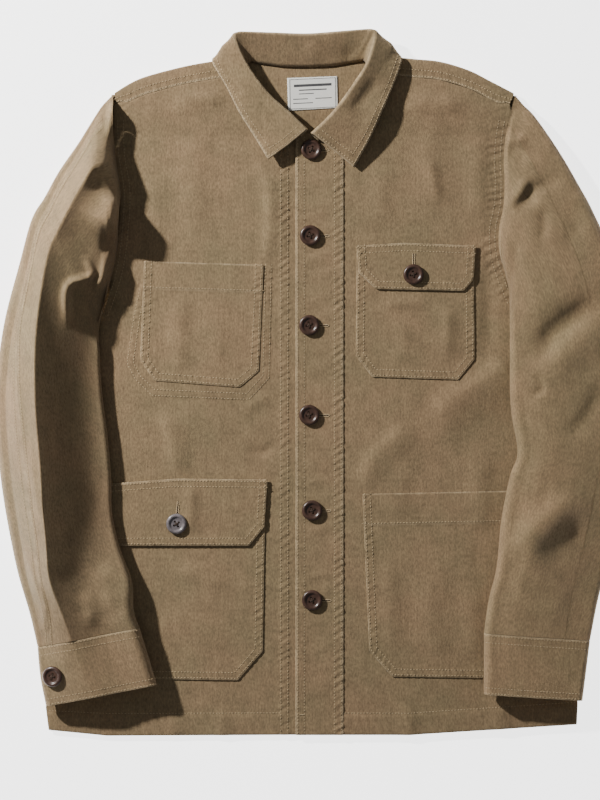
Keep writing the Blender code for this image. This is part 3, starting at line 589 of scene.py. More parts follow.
back = {"spacing": 4.0, "seamDepth": 17.0, "arcSteps": 6}
hemBack = [(-279, -363), (-218, -369), (-20, -368), (100, -368), (274, -357)]


def backHeights(x, y):
    return layers["cloth"] + collarRaise(y)


def makeBack():
    outerRight = np.array(sideRight[::-1] + armholeCurveRight[::-1].tolist()[1:])
    outerLeft = np.array(sideLeft[::-1] + armholeCurveLeft[::-1].tolist()[1:])
    top = np.concatenate([evenly(shoulderRight[::-1], 40), evenly(backNeck, 50)[1:-1],
        evenly(shoulderLeft, 40)])
    net = patch(outerRight, outerLeft, np.array(hemBack), top, back["spacing"])
    return net


backNet = makeBack()
backPiece = makePiece("backCloth", np.concatenate([backNet.reshape(-1, 2),
                                              (backHeights(backNet[..., 0],
                                                  backNet[..., 1]) - 0.6).reshape(-1, 1)], axis=1),
                      gridFaces(*backNet.shape[:2]), khakiTwill)
withThickness(backPiece, 1.2)


def shoulderStrip(name, line, tip, bottomHeight):
    # the back's strip that comes over the shoulder and down to the forward seam
    line = np.array(line, float)
    count = int(lineLength(line) / 2.2)
    crease = smoothLine(line, count)
    radius = bottomHeight / 2
    rows = []
    depth = np.full(count, back["seamDepth"])
    depth -= 8 * smooth(np.linspace(0, 1, count), 0.86, 1)
    for angle in np.linspace(0, math.pi, 9):
        z = 0.6 + layers["collarLift"] + radius * (1 - math.cos(angle))
        rows.append(np.column_stack([crease[:, 0], crease[:, 1] + (radius + 0.6) * math.sin(angle),
            np.full(count, z) + 0.6 * -math.cos(angle)]))
    top = 0.6 + layers["collarLift"] + 2 * radius + 0.6
    for f in np.linspace(0, 1, 12)[1:]:
        y = crease[:, 1] - depth * f
        z = top - layers["collarLift"] + collarRaise(y) + 0.35 * np.sin(math.pi * min(1,
            f * 1.3)) + 0.25 * smooth(f, 0.35, 0.9)
        share = np.linspace(0, 1, count)
        inset = (tip[0] - line[-1][0]) * smooth(share, 0.9, 1) * f
        ripple = 0.18 * np.cos(2 * math.pi * share * lineLength(line) / 8.5 + 2 * wander(share * 130, 3,
            14)) * smooth(f, 0.3, 0.7)
        rows.append(np.column_stack([crease[:, 0] + inset, y, z + ripple]))
    grid = np.stack(rows)
    return grid


strips, stripGrids = [], []
for side, line, tip, bottom in (("right", shoulderRight, tipRight, layers["frontBottomRight"]),
                                ("left", shoulderLeft, tipLeft, layers["frontBottomLeft"])):
    grid = shoulderStrip(side, line, tip, bottom)
    stripGrids.append(grid)
    faces = gridFaces(*grid.shape[:2])
    if side == "left":
        faces = faces[:, ::-1]
    worn = np.zeros(grid.shape[:2])
    worn[-1] = 0.8
    worn[-2] = 0.3
    strip = makePiece("strip", grid.reshape(-1, 3), faces, khakiTwill, wear=worn.ravel())
    strips.append(strip)


joinPieces(backPiece, strips)
print("back laid")

# placket

placket = {"left": -20.0, "right": 29.5, "hem": -368.0, "spacing": 1.8, "rows": (-11.2, 20.4)}


def placketHeights(x, y):
    edge = 0.3 * (1 - smooth(placket["right"] - x, 6.5, 11)) + 0.25 * (1 - smooth(x - placket["left"], 6.5,
        11))
    ripple = puckerHeights(x, y, [
        {"line": [(25, -368), (25, 270)], "reach": 6.0, "pitch": 8, "height": 0.5, "seed": 4, "slant": 0.45},
        {"line": [(-15.5, -368), (-15.5, 262)], "reach": 5.5, "pitch": 9, "height": 0.4, "seed": 6,
            "slant": -0.35},
        {"line": [(5, -368), (5, 262)], "reach": 13, "pitch": 24, "height": 0.3, "seed": 9, "slant": 0.05},
    ])
    top = layers["frontBottomLeft"] + layers["cloth"] + 0.75
    return top + collarRaise(y) + bodyRelief(x, y) + edge + ripple


netPlacket = patch(np.array([(-20, -368), (-20, 261)]), np.array([(29.5, -368), (29.5, 273.5)]),
                   np.array([(-20, -368), (29.5, -368)]), np.array([(-20, 261), (8, 261.5), (29.5, 273.5)]),
                       placket["spacing"])
placketPiece = layPiece("placket", netPlacket, placketHeights, khakiTwill, 0.8,
                        wear=lambda x, y: 0.75 * np.exp(-((placket["right"] - x) / 1.6) ** 2)
                        + 0.55 * np.exp(-((x - placket["left"]) / 1.6) ** 2))
print("placket laid")

# pockets and flaps

pockets = {
    "chestPocketRight": {"node": "chest_pocket_right", "side": "right", "level": 1,
                         "left": [(-183, 24), (-179, 128)], "right": [(-59, 13), (-54, 124)],
                         "bottom": [(-183, 24), (-168, 3), (-79, -4), (-59, 13)],
                             "top": [(-179, 128), (-54, 124)],
                         "band": 29, "flat": (0.13, 0.135), "area": 0.0158},
    "chestPocketLeft": {"node": "chest_pocket_left", "side": "left", "level": 1,
                        "left": [(43, 29), (44, 141)], "right": [(167, 25), (166, 141)],
                        "bottom": [(43, 29), (60, 7), (150, 4), (167, 25)], "top": [(44, 141), (166, 141)],
                        "band": 0, "flat": (0.125, 0.14), "area": 0.0164},
    "chestFlapLeft": {"node": "chest_flap_left", "side": "left", "level": 2,
                      "left": [(46, 116), (44, 144)], "right": [(166, 109), (168, 144)],
                      "bottom": [(46, 116), (64, 99), (156, 97), (166, 109)],
                          "top": [(44, 144), (94, 147), (168, 144)],
                      "band": 0, "flap": True, "flat": (0.124, 0.05), "area": 0.0056},
    "hipPocketRight": {"node": "hip_pocket_right", "side": "right", "level": 1,
                       "left": [(-234, -282), (-236, -110)], "right": [(-55, -281), (-52, -107)],
                       "bottom": [(-234, -282), (-210, -309), (-81, -311), (-55, -281)],
                       "top": [(-236, -110), (-52, -107)],
                       "band": 0, "flat": (0.185, 0.204), "area": 0.0362},
    "hipFlapRight": {"node": "hip_flap_right", "side": "right", "level": 2,
                     "left": [(-238, -151), (-239, -107)], "right": [(-53, -150), (-50, -101)],
                     "bottom": [(-238, -151), (-222, -170), (-69, -170), (-53, -150)],
                     "top": [(-239, -107), (-145, -100), (-50, -101)],
                     "band": 0, "flap": True, "flat": (0.19, 0.07), "area": 0.0124},
    "hipPocketLeft": {"node": "hip_pocket_left", "side": "left", "level": 1,
                      "left": [(57, -280), (50, -116)], "right": [(234, -282), (237, -112)],
                      "bottom": [(57, -280), (81, -307), (210, -309), (234, -282)],
                      "top": [(50, -116), (193, -113), (237, -112)],
                      "band": 33, "flat": (0.188, 0.197), "area": 0.0349},
}
rimInset = 8.4


def pocketHeights(pocket):
    bottom = layers["frontBottomRight" if pocket["side"] == "right" else "frontBottomLeft"]
    level = bottom + pocket["level"] * layerStep + layers["cloth"]
    sewn = np.array(pocket["left"][::-1][:-1] + pocket["bottom"] + pocket["right"][1:], float)
    seed = abs(pocket["left"][0][0]) % 7

    def heights(x, y):
        far, _, _ = nearLine(sewn, x, y)
        rim = 0.3 * (1 - smooth(far, rimInset - 3, rimInset + 3))
        ripple = puckerHeights(x, y, [{"line": sewn, "offset": 5, "reach": 5.5, "pitch": 7, "height": 0.36,
            "seed": seed, "slant": 0.4}])
        total = level + collarRaise(y) + bodyRelief(x,
            y) + rim + ripple - (0.1 if pocket.get("flap") else 0.55)
        if pocket["band"]:
            topY = np.interp(x, [pocket["top"][0][0], pocket["top"][-1][0]],
                [pocket["top"][0][1], pocket["top"][-1][1]])
            total += 0.4 * smooth(y - topY + pocket["band"], -1.0, 0.8)
        return total
    return heights


def pocketWear(pocket):
    sewn = np.array(pocket["left"][::-1][:-1] + pocket["bottom"] + pocket["right"][1:], float)
    top = np.array(pocket["top"], float)

    def wear(x, y):
        far, along, _ = nearLine(sewn, x, y)
        farTop, alongTop, _ = nearLine(top, x, y)
        edge = np.exp(-(far / 1.0) ** 2) * (0.36 + 0.4 * wander(along, 2, 8))
        edge = np.maximum(edge, np.exp(-(farTop / 1.0) ** 2) * (0.36 + 0.4 * wander(alongTop, 5, 8)))
        if pocket["band"]:
            topY = np.interp(x, [pocket["top"][0][0], pocket["top"][-1][0]],
                [pocket["top"][0][1], pocket["top"][-1][1]])
            edge = np.maximum(edge, 0.25 * np.exp(-((y - topY + pocket["band"] - 1) / 1.2) ** 2))
        return edge
    return wear


for name, pocket in pockets.items():
    net = patch(np.array(pocket["left"]), np.array(pocket["right"]), np.array(pocket["bottom"]),
        np.array(pocket["top"]), 1.7)
    layPiece(name, net, pocketHeights(pocket), khakiTwill,
        1.3 if pocket.get("flap") else 0.8,
                                  wear=pocketWear(pocket), roll=0.3)
print("pockets and flaps laid")

# sleeves and cuffs, lofted through sections from shoulder to wrist

ringNames = ("outerX", "outerY", "innerX", "innerY", "outerR", "innerR", "crest", "ridge", "seam", "bow",
    "lift", "sharp")
sleeves = {
    "right": {
        "outward": -1, "armhole": armholeCurveRight, "side": sideRight,
        "rings": [
            (-210, 303, -226, 71, 1.6, 1.6, 3.2, 0.50, 0.30, 1.00, 4.8, 0),
            (-215, 298, -226, 68, 2.6, 1.8, 22, 0.30, 0.28, 0.97, 5.2, 0.4),
            (-223, 289, -226, 64, 4.0, 2.0, 34, 0.27, 0.25, 0.93, 5.6, 0.8),
            (-234, 272, -226, 58, 6.0, 2.3, 40, 0.22, 0.20, 0.85, 5.6, 1),
            (-247, 251, -226, 53, 8.0, 2.6, 43, 0.22, 0.18, 0.74, 5.6, 1),
            (-267, 222, -226, 49, 9.0, 3.0, 43, 0.24, 0.16, 0.60, 5.6, 1),
            (-282, 195, -226, 46, 10, 3.5, 44, 0.25, 0.15, 0.48, 5.6, 1),
            (-296, 171, -226, 42, 11, 4.0, 43, 0.27, 0.15, 0.36, 5.6, 1),
            (-309, 124, -225, 34, 12, 4.5, 47, 0.30, 0.18, 0.18, 5.6, 1),
            (-323, 72, -224, 8, 12, 4.5, 51, 0.35, 0.22, 0.06, 5.6, 1),
            (-330, 30, -221, -23, 12, 4.5, 54, 0.38, 0.35, 0, 5.6, 1),
            (-334, -17, -217, -54, 12, 4.5, 56, 0.40, 0.48, 0, 6.2, 1),
            (-331, -75, -213, -99, 12, 4.5, 56, 0.41, 0.55, 0, 7.0, 1),
            (-326, -118, -212, -135, 12, 4.5, 55, 0.40, 0.58, 0, 7.4, 1),
            (-318, -164, -204, -171, 11, 5.5, 52, 0.36, 0.62, 0, 7.4, 1),
            (-310, -201, -191, -206, 9, 8.0, 46, 0.30, 0.60, 0, 7.4, 0.9),
            (-298, -240, -189, -237, 7, 10.5, 37, 0.33, 0.45, 0, 7.4, 0.8),
            (-290, -275, -183, -254, 5, 10.5, 31, 0.35, 0.25, 0, 7.4, 0.6),
        ],
    },
    "left": {
        "outward": 1, "armhole": armholeCurveLeft, "side": sideLeft,
        "rings": [
            (208, 302, 204, 99, 2.35, 2.35, 4.7, 0.50, 0.3, 1.00, 5.6, 0),
            (212, 298, 203, 96, 3.0, 2.5, 9, 0.45, 0.3, 0.85, 6.4, 0),
            (218, 291, 203, 92, 4.0, 3.0, 12, 0.50, 0.3, 0.80, 6.6, 0),
            (228, 281, 203, 88, 6.0, 4.0, 15, 0.55, 0.3, 0.72, 6.6, 0),
            (244, 259, 203, 83, 8.0, 5.0, 18, 0.60, 0.3, 0.50, 6.6, 0),
            (260, 234, 203, 78, 9.0, 6.0, 21, 0.64, 0.3, 0.50, 6.6, 0),
            (276, 206, 203, 72, 10, 7.0, 23, 0.66, 0.3, 0.40, 6.6, 0),
            (289, 182, 203, 66, 11, 8.0, 25, 0.68, 0.3, 0.30, 6.6, 0),
            (309, 136, 203, 53, 12, 9.0, 28, 0.70, 0.3, 0.18, 6.6, 0),
            (326, 72, 203, 23, 12, 9.5, 30, 0.70, 0.3, 0.06, 6.6, 0),
            (332, 29, 203, -5, 12, 10, 31, 0.72, 0.3, 0, 6.6, 0),
            (334, -17, 205, -35, 12, 10, 31, 0.72, 0.3, 0, 6.8, 0),
            (333, -66, 211, -72, 12, 10, 31, 0.72, 0.3, 0, 7.2, 0),
            (329, -101, 203, -97, 12, 10, 31, 0.72, 0.3, 0, 7.4, 0),
            (318, -151, 194, -143, 11, 10, 31, 0.72, 0.3, 0, 7.0, 0),
            (307, -187, 189, -192, 9, 10, 31, 0.72, 0.3, 0, 7.8, 0),
            (296, -225, 181, -225, 7, 9, 29, 0.72, 0.3, 0, 8.4, 0),
            (287, -268, 176, -260, 5.5, 8, 26, 0.70, 0.3, 0, 9.2, 0),
        ],
    },
}
cuffs = {
    "right": [
        (-290, -275.5, -183, -254.5, 5, 10.5, 30, 0.35, 0.1, 0, 7.4, 0.3),
        (-287, -306, -174, -284, 6, 10, 28, 0.40, 0.1, 0, 7.4, 0.3),
        (-281, -337, -165, -314, 6, 9.5, 27, 0.45, 0.1, 0, 7.4, 0.3),
    ],
    "left": [
        (287, -268.5, 176, -260.5, 5.5, 8, 26, 0.70, 0.1, 0, 9.2, 0),
        (283, -300, 176, -292, 6, 8, 25, 0.70, 0.1, 0, 9.2, 0),
        (279, -331, 176, -324, 6, 8, 25, 0.70, 0.1, 0, 9.2, 0),
    ],
}
sleeveFolds = {
    "right": [
        {"path": [(-200, 200), (-206, 182), (-216, 162), (-224, 152)], "width": 17, "height": 19},
        {"path": [(-236, 136), (-237, 126), (-231, 114), (-239, 108), (-252, 104), (-258, 92), (-256, 55)],
            "width": 4, "height": 7},
        {"path": [(-216, 142), (-218, 124), (-221, 110), (-227, 103), (-239, 107)], "width": 4.5,
            "height": 7},
        {"path": [(-208, 303), (-210, 275), (-207, 245)], "width": 6, "height": 15},
        {"path": [(-305, 40), (-309, -20), (-306, -90)], "width": 9, "height": 1.5},
        {"path": [(-296, -60), (-290, -100), (-282, -150)], "width": 5, "height": 1.5},
        {"path": [(-292, 130), (-303, 95), (-305, 70)], "width": 7, "height": 2.5},
        {"path": [(-300, -170), (-292, -205), (-286, -235)], "width": 4, "height": 2.0},
        {"path": [(-288, -205), (-281, -235), (-283, -262)], "width": 4, "height": 1.8},
        {"path": [(-225, -185), (-215, -215), (-205, -240)], "width": 12, "height": 2.5},
        {"path": [(-240, -212), (-232, -235), (-236, -258)], "width": 8, "height": 2.0},
    ],
    "left": [
        {"path": [(192, 255), (208, 254), (224, 253)], "width": 5, "height": 3.4},
        {"path": [(198, 244), (212, 240), (222, 228)], "width": 6, "height": -2.6},
        {"path": [(198, 183), (214, 200), (222, 219)], "width": 6, "height": 3.6},
        {"path": [(203, 180), (222, 192), (234, 206), (264, 210)], "width": 7, "height": -3.6},
        {"path": [(235, 185), (238, 165), (236, 145)], "width": 6, "height": -2.2},
        {"path": [(265, 190), (270, 165), (268, 140)], "width": 9, "height": -2},
        {"path": [(205, 150), (212, 125), (208, 100)], "width": 7, "height": -1.4},
        {"path": [(310, 92), (270, 68), (245, 47), (226, 12)], "width": 15, "height": -8, "steep": 0.7},
        {"path": [(310, 62), (280, 44), (255, 22), (240, -8)], "width": 16, "height": 3},
        {"path": [(225, 13), (232, 5), (236, -4), (229, -10), (220, -5)], "width": 4.5, "height": -2.4},
        {"path": [(300, 5), (285, -30), (258, -60)], "width": 10, "height": -3},
        {"path": [(282, -105), (246, -140), (215, -168), (196, -190)], "width": 15, "steep": 1.9,
            "height": 8},
        {"path": [(290, -140), (255, -165), (225, -195)], "width": 24, "height": -5},
        {"path": [(214, -72), (218, -82), (230, -78)], "width": 7, "height": -1.2},
        {"path": [(262, -200), (250, -235), (254, -262)], "width": 12, "height": 1.5},
    ],
}


def ringPlan(ring, sleeve, t):
    x = ring["outerX"] + t * (ring["innerX"] - ring["outerX"])
    y = ring["outerY"] + t * (ring["innerY"] - ring["outerY"])
    if ring["bow"] > 0:
        first = sleeve["rings"][0]
        curve = sleeve["armhole"]
        curve = np.concatenate([curve[curve[:, 1] > first[3]], [(first[2], first[3])]])
        reach = np.r_[0, np.cumsum(np.hypot(*np.diff(curve, axis=0).T))]
        px, py = (np.interp(t * reach[-1], reach, column) for column in curve.T)
        x = x + ring["bow"] * (px + sleeve["outward"] * (0.5 + (1 - np.clip(t, 0,
            1)) ** 8) - first[0] - t * (first[2] - first[0]))
        y = y + ring["bow"] * (py - first[1] - t * (first[3] - first[1]))
    return x, y


def lowerHeight(ring, sleeve, x, y, dip):
    border = np.concatenate([sleeve["armhole"], np.array(sleeve["side"][1:])])
    order = np.argsort(border[:-1, 1])
    boundary = np.interp(y, border[:-1][order, 1], border[:-1][order, 0])
    beyond = (x - boundary) * sleeve["outward"] > 0
    far, _, _ = nearLine(border, x, y)
    outside = np.where(beyond, far, 0)
    over = 1 - smooth(outside, 8, 28) if dip else 1
    notch = sleeve["rings"][0][3]
    return ring["lift"] * over * (1 - smooth(y, notch + 14, notch + 48)) + collarRaise(y) * ring["bow"] ** 4


counts = {"roll": 9, "toSeam": 10, "toRidge": 26, "fall": 44, "innerRoll": 9, "under": 24}


def sectionPoints(ring, sleeve, dip=True):
    # one closed section: outer roll, up to the back seam, over the ridge, inner roll, underside
    ends = np.array(ringPlan(ring, sleeve, np.array([0.0, 1.0])))
    length = math.hypot(ends[0, 1] - ends[0, 0], ends[1, 1] - ends[1, 0])
    outerR, innerR = ring["outerR"], ring["innerR"]
    start, end = outerR / length, 1 - innerR / length

    def roll(edge, direction, radius, angles):
        angles = np.radians(angles)
        centre = edge + direction * radius / length
        x, y = ringPlan(ring, sleeve, np.array([centre]))
        floor = lowerHeight(ring, sleeve, x, y, dip)[0]
        t = edge + direction * radius * (1 - np.cos(angles)) / length
        px, py = ringPlan(ring, sleeve, t)
        return np.column_stack([px, py, floor + radius * (1 + np.sin(angles)), np.clip(np.sin(angles), 0, 1)])

    def top(t):
        x, y = ringPlan(ring, sleeve, t)
        ox, oy = ringPlan(ring, sleeve, np.array([start]))
        ix, iy = ringPlan(ring, sleeve, np.array([end]))
        low = lowerHeight(ring, sleeve, ox, oy, dip)[0] + 2 * outerR
        high = lowerHeight(ring, sleeve, ix, iy, dip)[0] + 2 * innerR
        base = low + (high - low) * smooth(t, 0.5, 1)
        if ring["bow"] > 0.9:
            base = lowerHeight(ring, sleeve, x, y, dip) + 2 * outerR
        share = np.where(t < ring["ridge"], (t - start) / (ring["ridge"] - start),
            (end - t) / (end - ring["ridge"]))
        share = np.clip(share, 0, 1)
        rounded = np.sin(share * math.pi / 2) ** 1.3
        creased = np.where(t < ring["ridge"], share ** 0.85, 0.9 * share ** 2.1 + 0.1 * share)
        shape = rounded + ring["sharp"] * (creased - rounded)
        return np.column_stack([x, y, base + np.maximum(0, ring["crest"] - base) * shape, np.ones(len(t))])

    seamT = start + (ring["ridge"] - start) * ring["seam"]
    up = np.linspace(start, seamT, counts["toSeam"])
    over = np.linspace(seamT, ring["ridge"], counts["toRidge"])[1:]
    down = ring["ridge"] + (end - ring["ridge"]) * np.linspace(0, 1, counts["fall"])[1:]
    under = start + (end - start) * np.linspace(1, 0, counts["under"])[1:-1]
    ux, uy = ringPlan(ring, sleeve, under)
    lower = np.column_stack([ux, uy, lowerHeight(ring, sleeve, ux, uy, dip), np.zeros(len(under))])
    return np.concatenate([
        roll(0, 1, outerR, np.linspace(-90, 90, counts["roll"])[:-1]),
        top(up), top(over), top(down),
        roll(1, -1, innerR, np.linspace(90, -90, counts["innerRoll"])[1:]),
        lower,
    ])


seamIndex = counts["roll"] - 1 + counts["toSeam"] - 1
underIndex = (counts["roll"] - 1 + counts["toSeam"] + counts["toRidge"] - 1 + counts["fall"] - 1
              + counts["innerRoll"] - 1 + int(counts["under"] * 0.34))


def loftSections(rows, sleeve, coarse, fine, dip=True):
    table = splineRows(rows, np.linspace(0, 1, coarse))
    sections = np.stack([sectionPoints(dict(zip(ringNames, row)), sleeve, dip) for row in table])
    flat = splineRows(sections.reshape(coarse, -1), np.linspace(0, 1, fine))
    return flat.reshape(fine, -1, 4)


def tubePart(name, grid, first, last, sleeve, worn=None, closed=False):
    size = grid.shape[1]
    picks = np.arange(first, last + 1) if last > first else np.r_[np.arange(first, size),
        np.arange(0, last + 1)]
    part = grid[:, picks % size].copy()
    if closed:
        part = np.concatenate([part, part[:, :1]], axis=1)
    else:
        for edge, step in ((0, 1), (-1, -2)):
            toward = part[:, step, :3] - part[:, edge, :3]
            part[:, edge, :3] += 0.15 * toward / np.maximum(1e-9, np.linalg.norm(toward, axis=1))[:, None]
    rows, columns = part.shape[:2]
    width = np.concatenate([np.zeros((rows, 1)),
        np.cumsum(np.linalg.norm(np.diff(part[..., :3], axis=1), axis=2), axis=1)], axis=1)
    width -= width.mean(axis=1, keepdims=True)
    middle = part[:, columns // 2, :3]
    down = np.r_[0, np.cumsum(np.linalg.norm(np.diff(middle, axis=0), axis=1))]
    uv = np.stack([width, np.repeat(-down[:, None], columns, axis=1)], axis=2).reshape(-1, 2)
    faces = gridFaces(rows, columns)
    if sleeve["outward"] < 0:
        faces = faces[:, ::-1]
    wear = None if worn is None else worn[:, picks % size].reshape(-1)
    if closed and wear is not None:
        wear = np.concatenate([worn[:, picks % size], worn[:, picks[:1] % size]], axis=1).reshape(-1)
    return makePiece(name, part[..., :3].reshape(-1, 3), faces, khakiTwill, uv=uv, wear=wear)


sleevePieces, cuffPieces, sleeveGrids, cuffGrids = {}, {}, {}, {}
for side, sleeve in sleeves.items():
    grid = loftSections(sleeve["rings"], sleeve, 60, 230)
    x, y = grid[..., 0], grid[..., 1]
    lift = foldHeights(x, y, sleeveFolds[side])
    along = np.repeat(np.linspace(0, 600, grid.shape[0])[:, None], grid.shape[1], axis=1)
    fromSeam = np.abs(np.arange(grid.shape[1]) - seamIndex)[None, :] * 1.0
    bumpy = 1 if side == "right" else 0
    lift = lift + bumpy * (0.45 * np.exp(-(fromSeam / 3) ** 2) * np.cos(2 * math.pi * along / 8.5 + 2 * wander(along, 3, 20))
                   * (0.6 + 0.4 * wander(along, 6,
                       13)) + 0.3 * np.exp(-(fromSeam / 3) ** 4)) * smooth(along, 40, 120)
    grid[..., 2] = grid[..., 2] + lift * grid[..., 3]
    worn = bumpy * 0.3 * np.exp(-(fromSeam / 2.0) ** 4) * np.clip(0.6 + 0.6 * wander(along, 9, 7), 0, 1)
    sleeveGrids[side] = grid
    name = "Right" if side == "right" else "Left"
    sleevePieces[side] = (tubePart("sleeve" + name + "Upper", grid, seamIndex, underIndex, sleeve, worn),
                          tubePart("sleeve" + name + "Under", grid, underIndex, seamIndex, sleeve, worn))
    cuffGrid = loftSections(cuffs[side], sleeve, 12, 40, dip=False)
    cuffGrids[side] = cuffGrid
    edgeWear = np.zeros(cuffGrid.shape[:2])
    edgeWear[0] = edgeWear[-1] = 0.8
    edgeWear[1] = edgeWear[-2] = 0.35
    cuff = tubePart("cuff" + name, cuffGrid, 0, cuffGrid.shape[1] - 1, sleeve, edgeWear, closed=True)
    cuffPieces[side] = withThickness(cuff, 2.4, -1)
print("sleeves and cuffs lofted")

# collar

collar = {
    "thickness": 1.8, "foldRadius": 2.4,
    "right": [
        ((-14, 259, 8.0), (-8, 265, 14), (-28, 249, 14), (-49, 234, 12.3)),
        ((-36, 271, 6.6), (-27, 283, 14), (-46, 268, 13.5), (-64, 259, 10.5)),
        ((-56, 288, 7.0), (-44, 298, 14), (-62, 289, 13.5), (-80, 285, 10.5)),
        ((-70, 307, 6.6), (-58, 314, 14.5), (-76, 309, 13.8), (-93, 311, 10.6)),
        ((-74, 326, 6.4), (-71, 333, 15.5), (-88, 333, 14), (-107, 335, 10.6)),
        ((-68, 337, 5.6), (-82, 353, 16.5), (-97, 349, 13), (-104.5, 341.5, 7.5)),
        ((-61, 336, 5.0), (-85, 363, 17), (-93.5, 355, 9), (-100, 344, 1.6)),
        ((-56, 335, 4.8), (-80, 366, 16.5), (-86, 353, 2.4), (-94, 344.5, 1.05)),
        ((-49, 334, 4.8), (-71, 366.3, 16), (-77, 350, 1.2), (-84, 323, 1.05)),
        ((-33, 332, 4.8), (-45, 365.6, 15), (-45, 349, 1.1), (-49, 300, 1.05)),
    ],
    "centre": [((-11, 331.5, 4.8), (-9, 364.6, 14), (-9, 346, 1.1), (-9, 297, 1.05))],
    "left": [
        ((3, 254, 8.2), (-4, 261, 14), (19, 244, 11.5), (41, 226, 8.6)),
        ((23, 275, 8.4), (16, 280, 17), (37, 264, 15.5), (58, 257, 14.0)),
        ((42, 293, 8.8), (30, 297, 20), (49, 287, 18), (70, 284, 16.5)),
        ((53, 311, 9.2), (44, 317, 21.5), (61, 310, 18.5), (81, 310, 15.5)),
        ((57, 327, 8.4), (54, 333, 21.5), (70, 332, 17.5), (90, 335, 13.0)),
        ((52, 338, 6.2), (61, 353, 20.5), (80, 350, 15), (88.5, 343, 8.0)),
        ((47, 337.5, 5.0), (63.5, 365, 19), (76, 357, 10.5), (83, 346, 1.6)),
        ((42, 336.5, 4.8), (60, 368.3, 18), (66, 354, 2.4), (76, 346, 1.05)),
        ((35, 335.5, 4.8), (52, 368.8, 16.5), (57, 350, 1.2), (64, 323, 1.05)),
        ((16, 332.5, 4.8), (24, 366.8, 15), (24, 349, 1.1), (28, 300, 1.05)),
    ],
}
collarFolds = [
    {"path": [(38, 352), (34, 340)], "width": 6, "height": -1.2},
    {"path": [(-5, 360), (-2, 345), (-6, 335)], "width": 9, "height": 1.0},
    {"path": [(66, 322), (52, 300), (34, 280)], "width": 7, "height": -1.6},
    {"path": [(80, 300), (66, 285), (52, 262)], "width": 6, "height": 0.9},
    {"path": [(-88, 318), (-72, 290), (-56, 262)], "width": 9, "height": 0.8},
    {"path": [(-60, 305), (-45, 285), (-38, 262)], "width": 6, "height": -0.9},
]


def collarSection(station):
    seam, fold, leaf, edge = station.reshape(4, 3)
    middle = (seam + leaf) / 2
    outward = (fold - middle) / np.linalg.norm(fold - middle)
    across = (seam - leaf) - outward * (seam - leaf).dot(outward)
    across /= np.linalg.norm(across)
    radius = collar["foldRadius"]
    centre = fold - outward * radius

    def tangent(point, sign):
        away = point - centre
        ahead, beside = away.dot(outward), away.dot(across) * sign
        return sign * (math.atan2(beside, ahead) - math.acos(min(1, radius / math.hypot(ahead, beside))))

    start, end = tangent(seam, 1), tangent(leaf, -1)
    angles = np.linspace(start, end, 10)[:, None]
    arc = centre + (outward * np.cos(angles) + across * np.sin(angles)) * radius
    stand = seam + (arc[0] - seam) * np.linspace(0, 1, 9)[:-1, None]
    t = np.linspace(0, 1, 12)[1:, None]
    fall = arc[-1] + (leaf - arc[-1]) * t
    last = leaf + (edge - leaf) * np.linspace(0, 1, 14)[1:, None]
    return np.concatenate([stand, arc, fall, last])


stations = np.array(collar["right"] + collar["centre"] + collar["left"][::-1], float).reshape(-1, 12)
collarRows = splineRows(stations, np.linspace(0, 1, 260))
collarGrid = np.stack([collarSection(row) for row in collarRows])
for _ in range(2):
    collarGrid[:, 20:-1] = (collarGrid[:, 19:-2] + 2 * collarGrid[:, 20:-1] + collarGrid[:, 21:]) / 4
leafShare = smooth(np.arange(collarGrid.shape[1]), 18, 24)[None,
    :] + (np.arange(collarGrid.shape[1]) < 10)[None, :]
collarGrid[..., 2] += foldHeights(collarGrid[..., 0], collarGrid[..., 1], collarFolds) * leafShare
edgeAway = (collarGrid.shape[1] - 1 - np.arange(collarGrid.shape[1]))[None,
    :] * np.ones((collarGrid.shape[0], 1))
alongCollar = np.arange(collarGrid.shape[0])[:, None] * 2.1 * np.ones((1, collarGrid.shape[1]))
collarGrid[..., 2] += 0.28 * np.exp(-((edgeAway - 3.5) / 3.2) ** 4) * (0.6 + 0.4 * wander(alongCollar, 5,
    9)) \
    * np.cos(2 * math.pi * alongCollar / 7.5 + 2 * wander(alongCollar, 2,
        15)) + 0.3 * np.exp(-((edgeAway - 4) / 3.5) ** 4)
collarGrid[..., 2] = np.maximum(collarGrid[..., 2], collar["thickness"] / 2 + 0.1)
worn = np.zeros(collarGrid.shape[:2])
worn[:, -1] = 0.8
worn[:, -2] = 0.4
worn[0], worn[-1] = 0.8, 0.8
worn[1], worn[-2] = 0.3, 0.3
worn[:, 10:17] = np.maximum(worn[:, 10:17], 0.35)
faces = gridFaces(*collarGrid.shape[:2])[:, ::-1]
collarPiece = makePiece("collarCloth", collarGrid.reshape(-1, 3), faces, khakiTwill, wear=worn.ravel())
withThickness(collarPiece, collar["thickness"])
print("collar rolled")

# label

label = {"left": [(-28, 286), (-29, 320)], "right": [(24, 289), (23, 322)],
         "bottom": [(-28, 286), (24, 289)], "top": [(-29, 320), (23, 322)], "flat": (0.053, 0.034)}


def labelHeights(x, y):
    return layers["cloth"] + collarRaise(y) + 0.3 + 0.6


labelNet = patch(*(np.array(label[edge]) for edge in ("left", "right", "bottom", "top")), 1.5)
labelPiece = layPiece("neckLabel", labelNet, labelHeights, labelCloth, 0.5, roll=0.15)


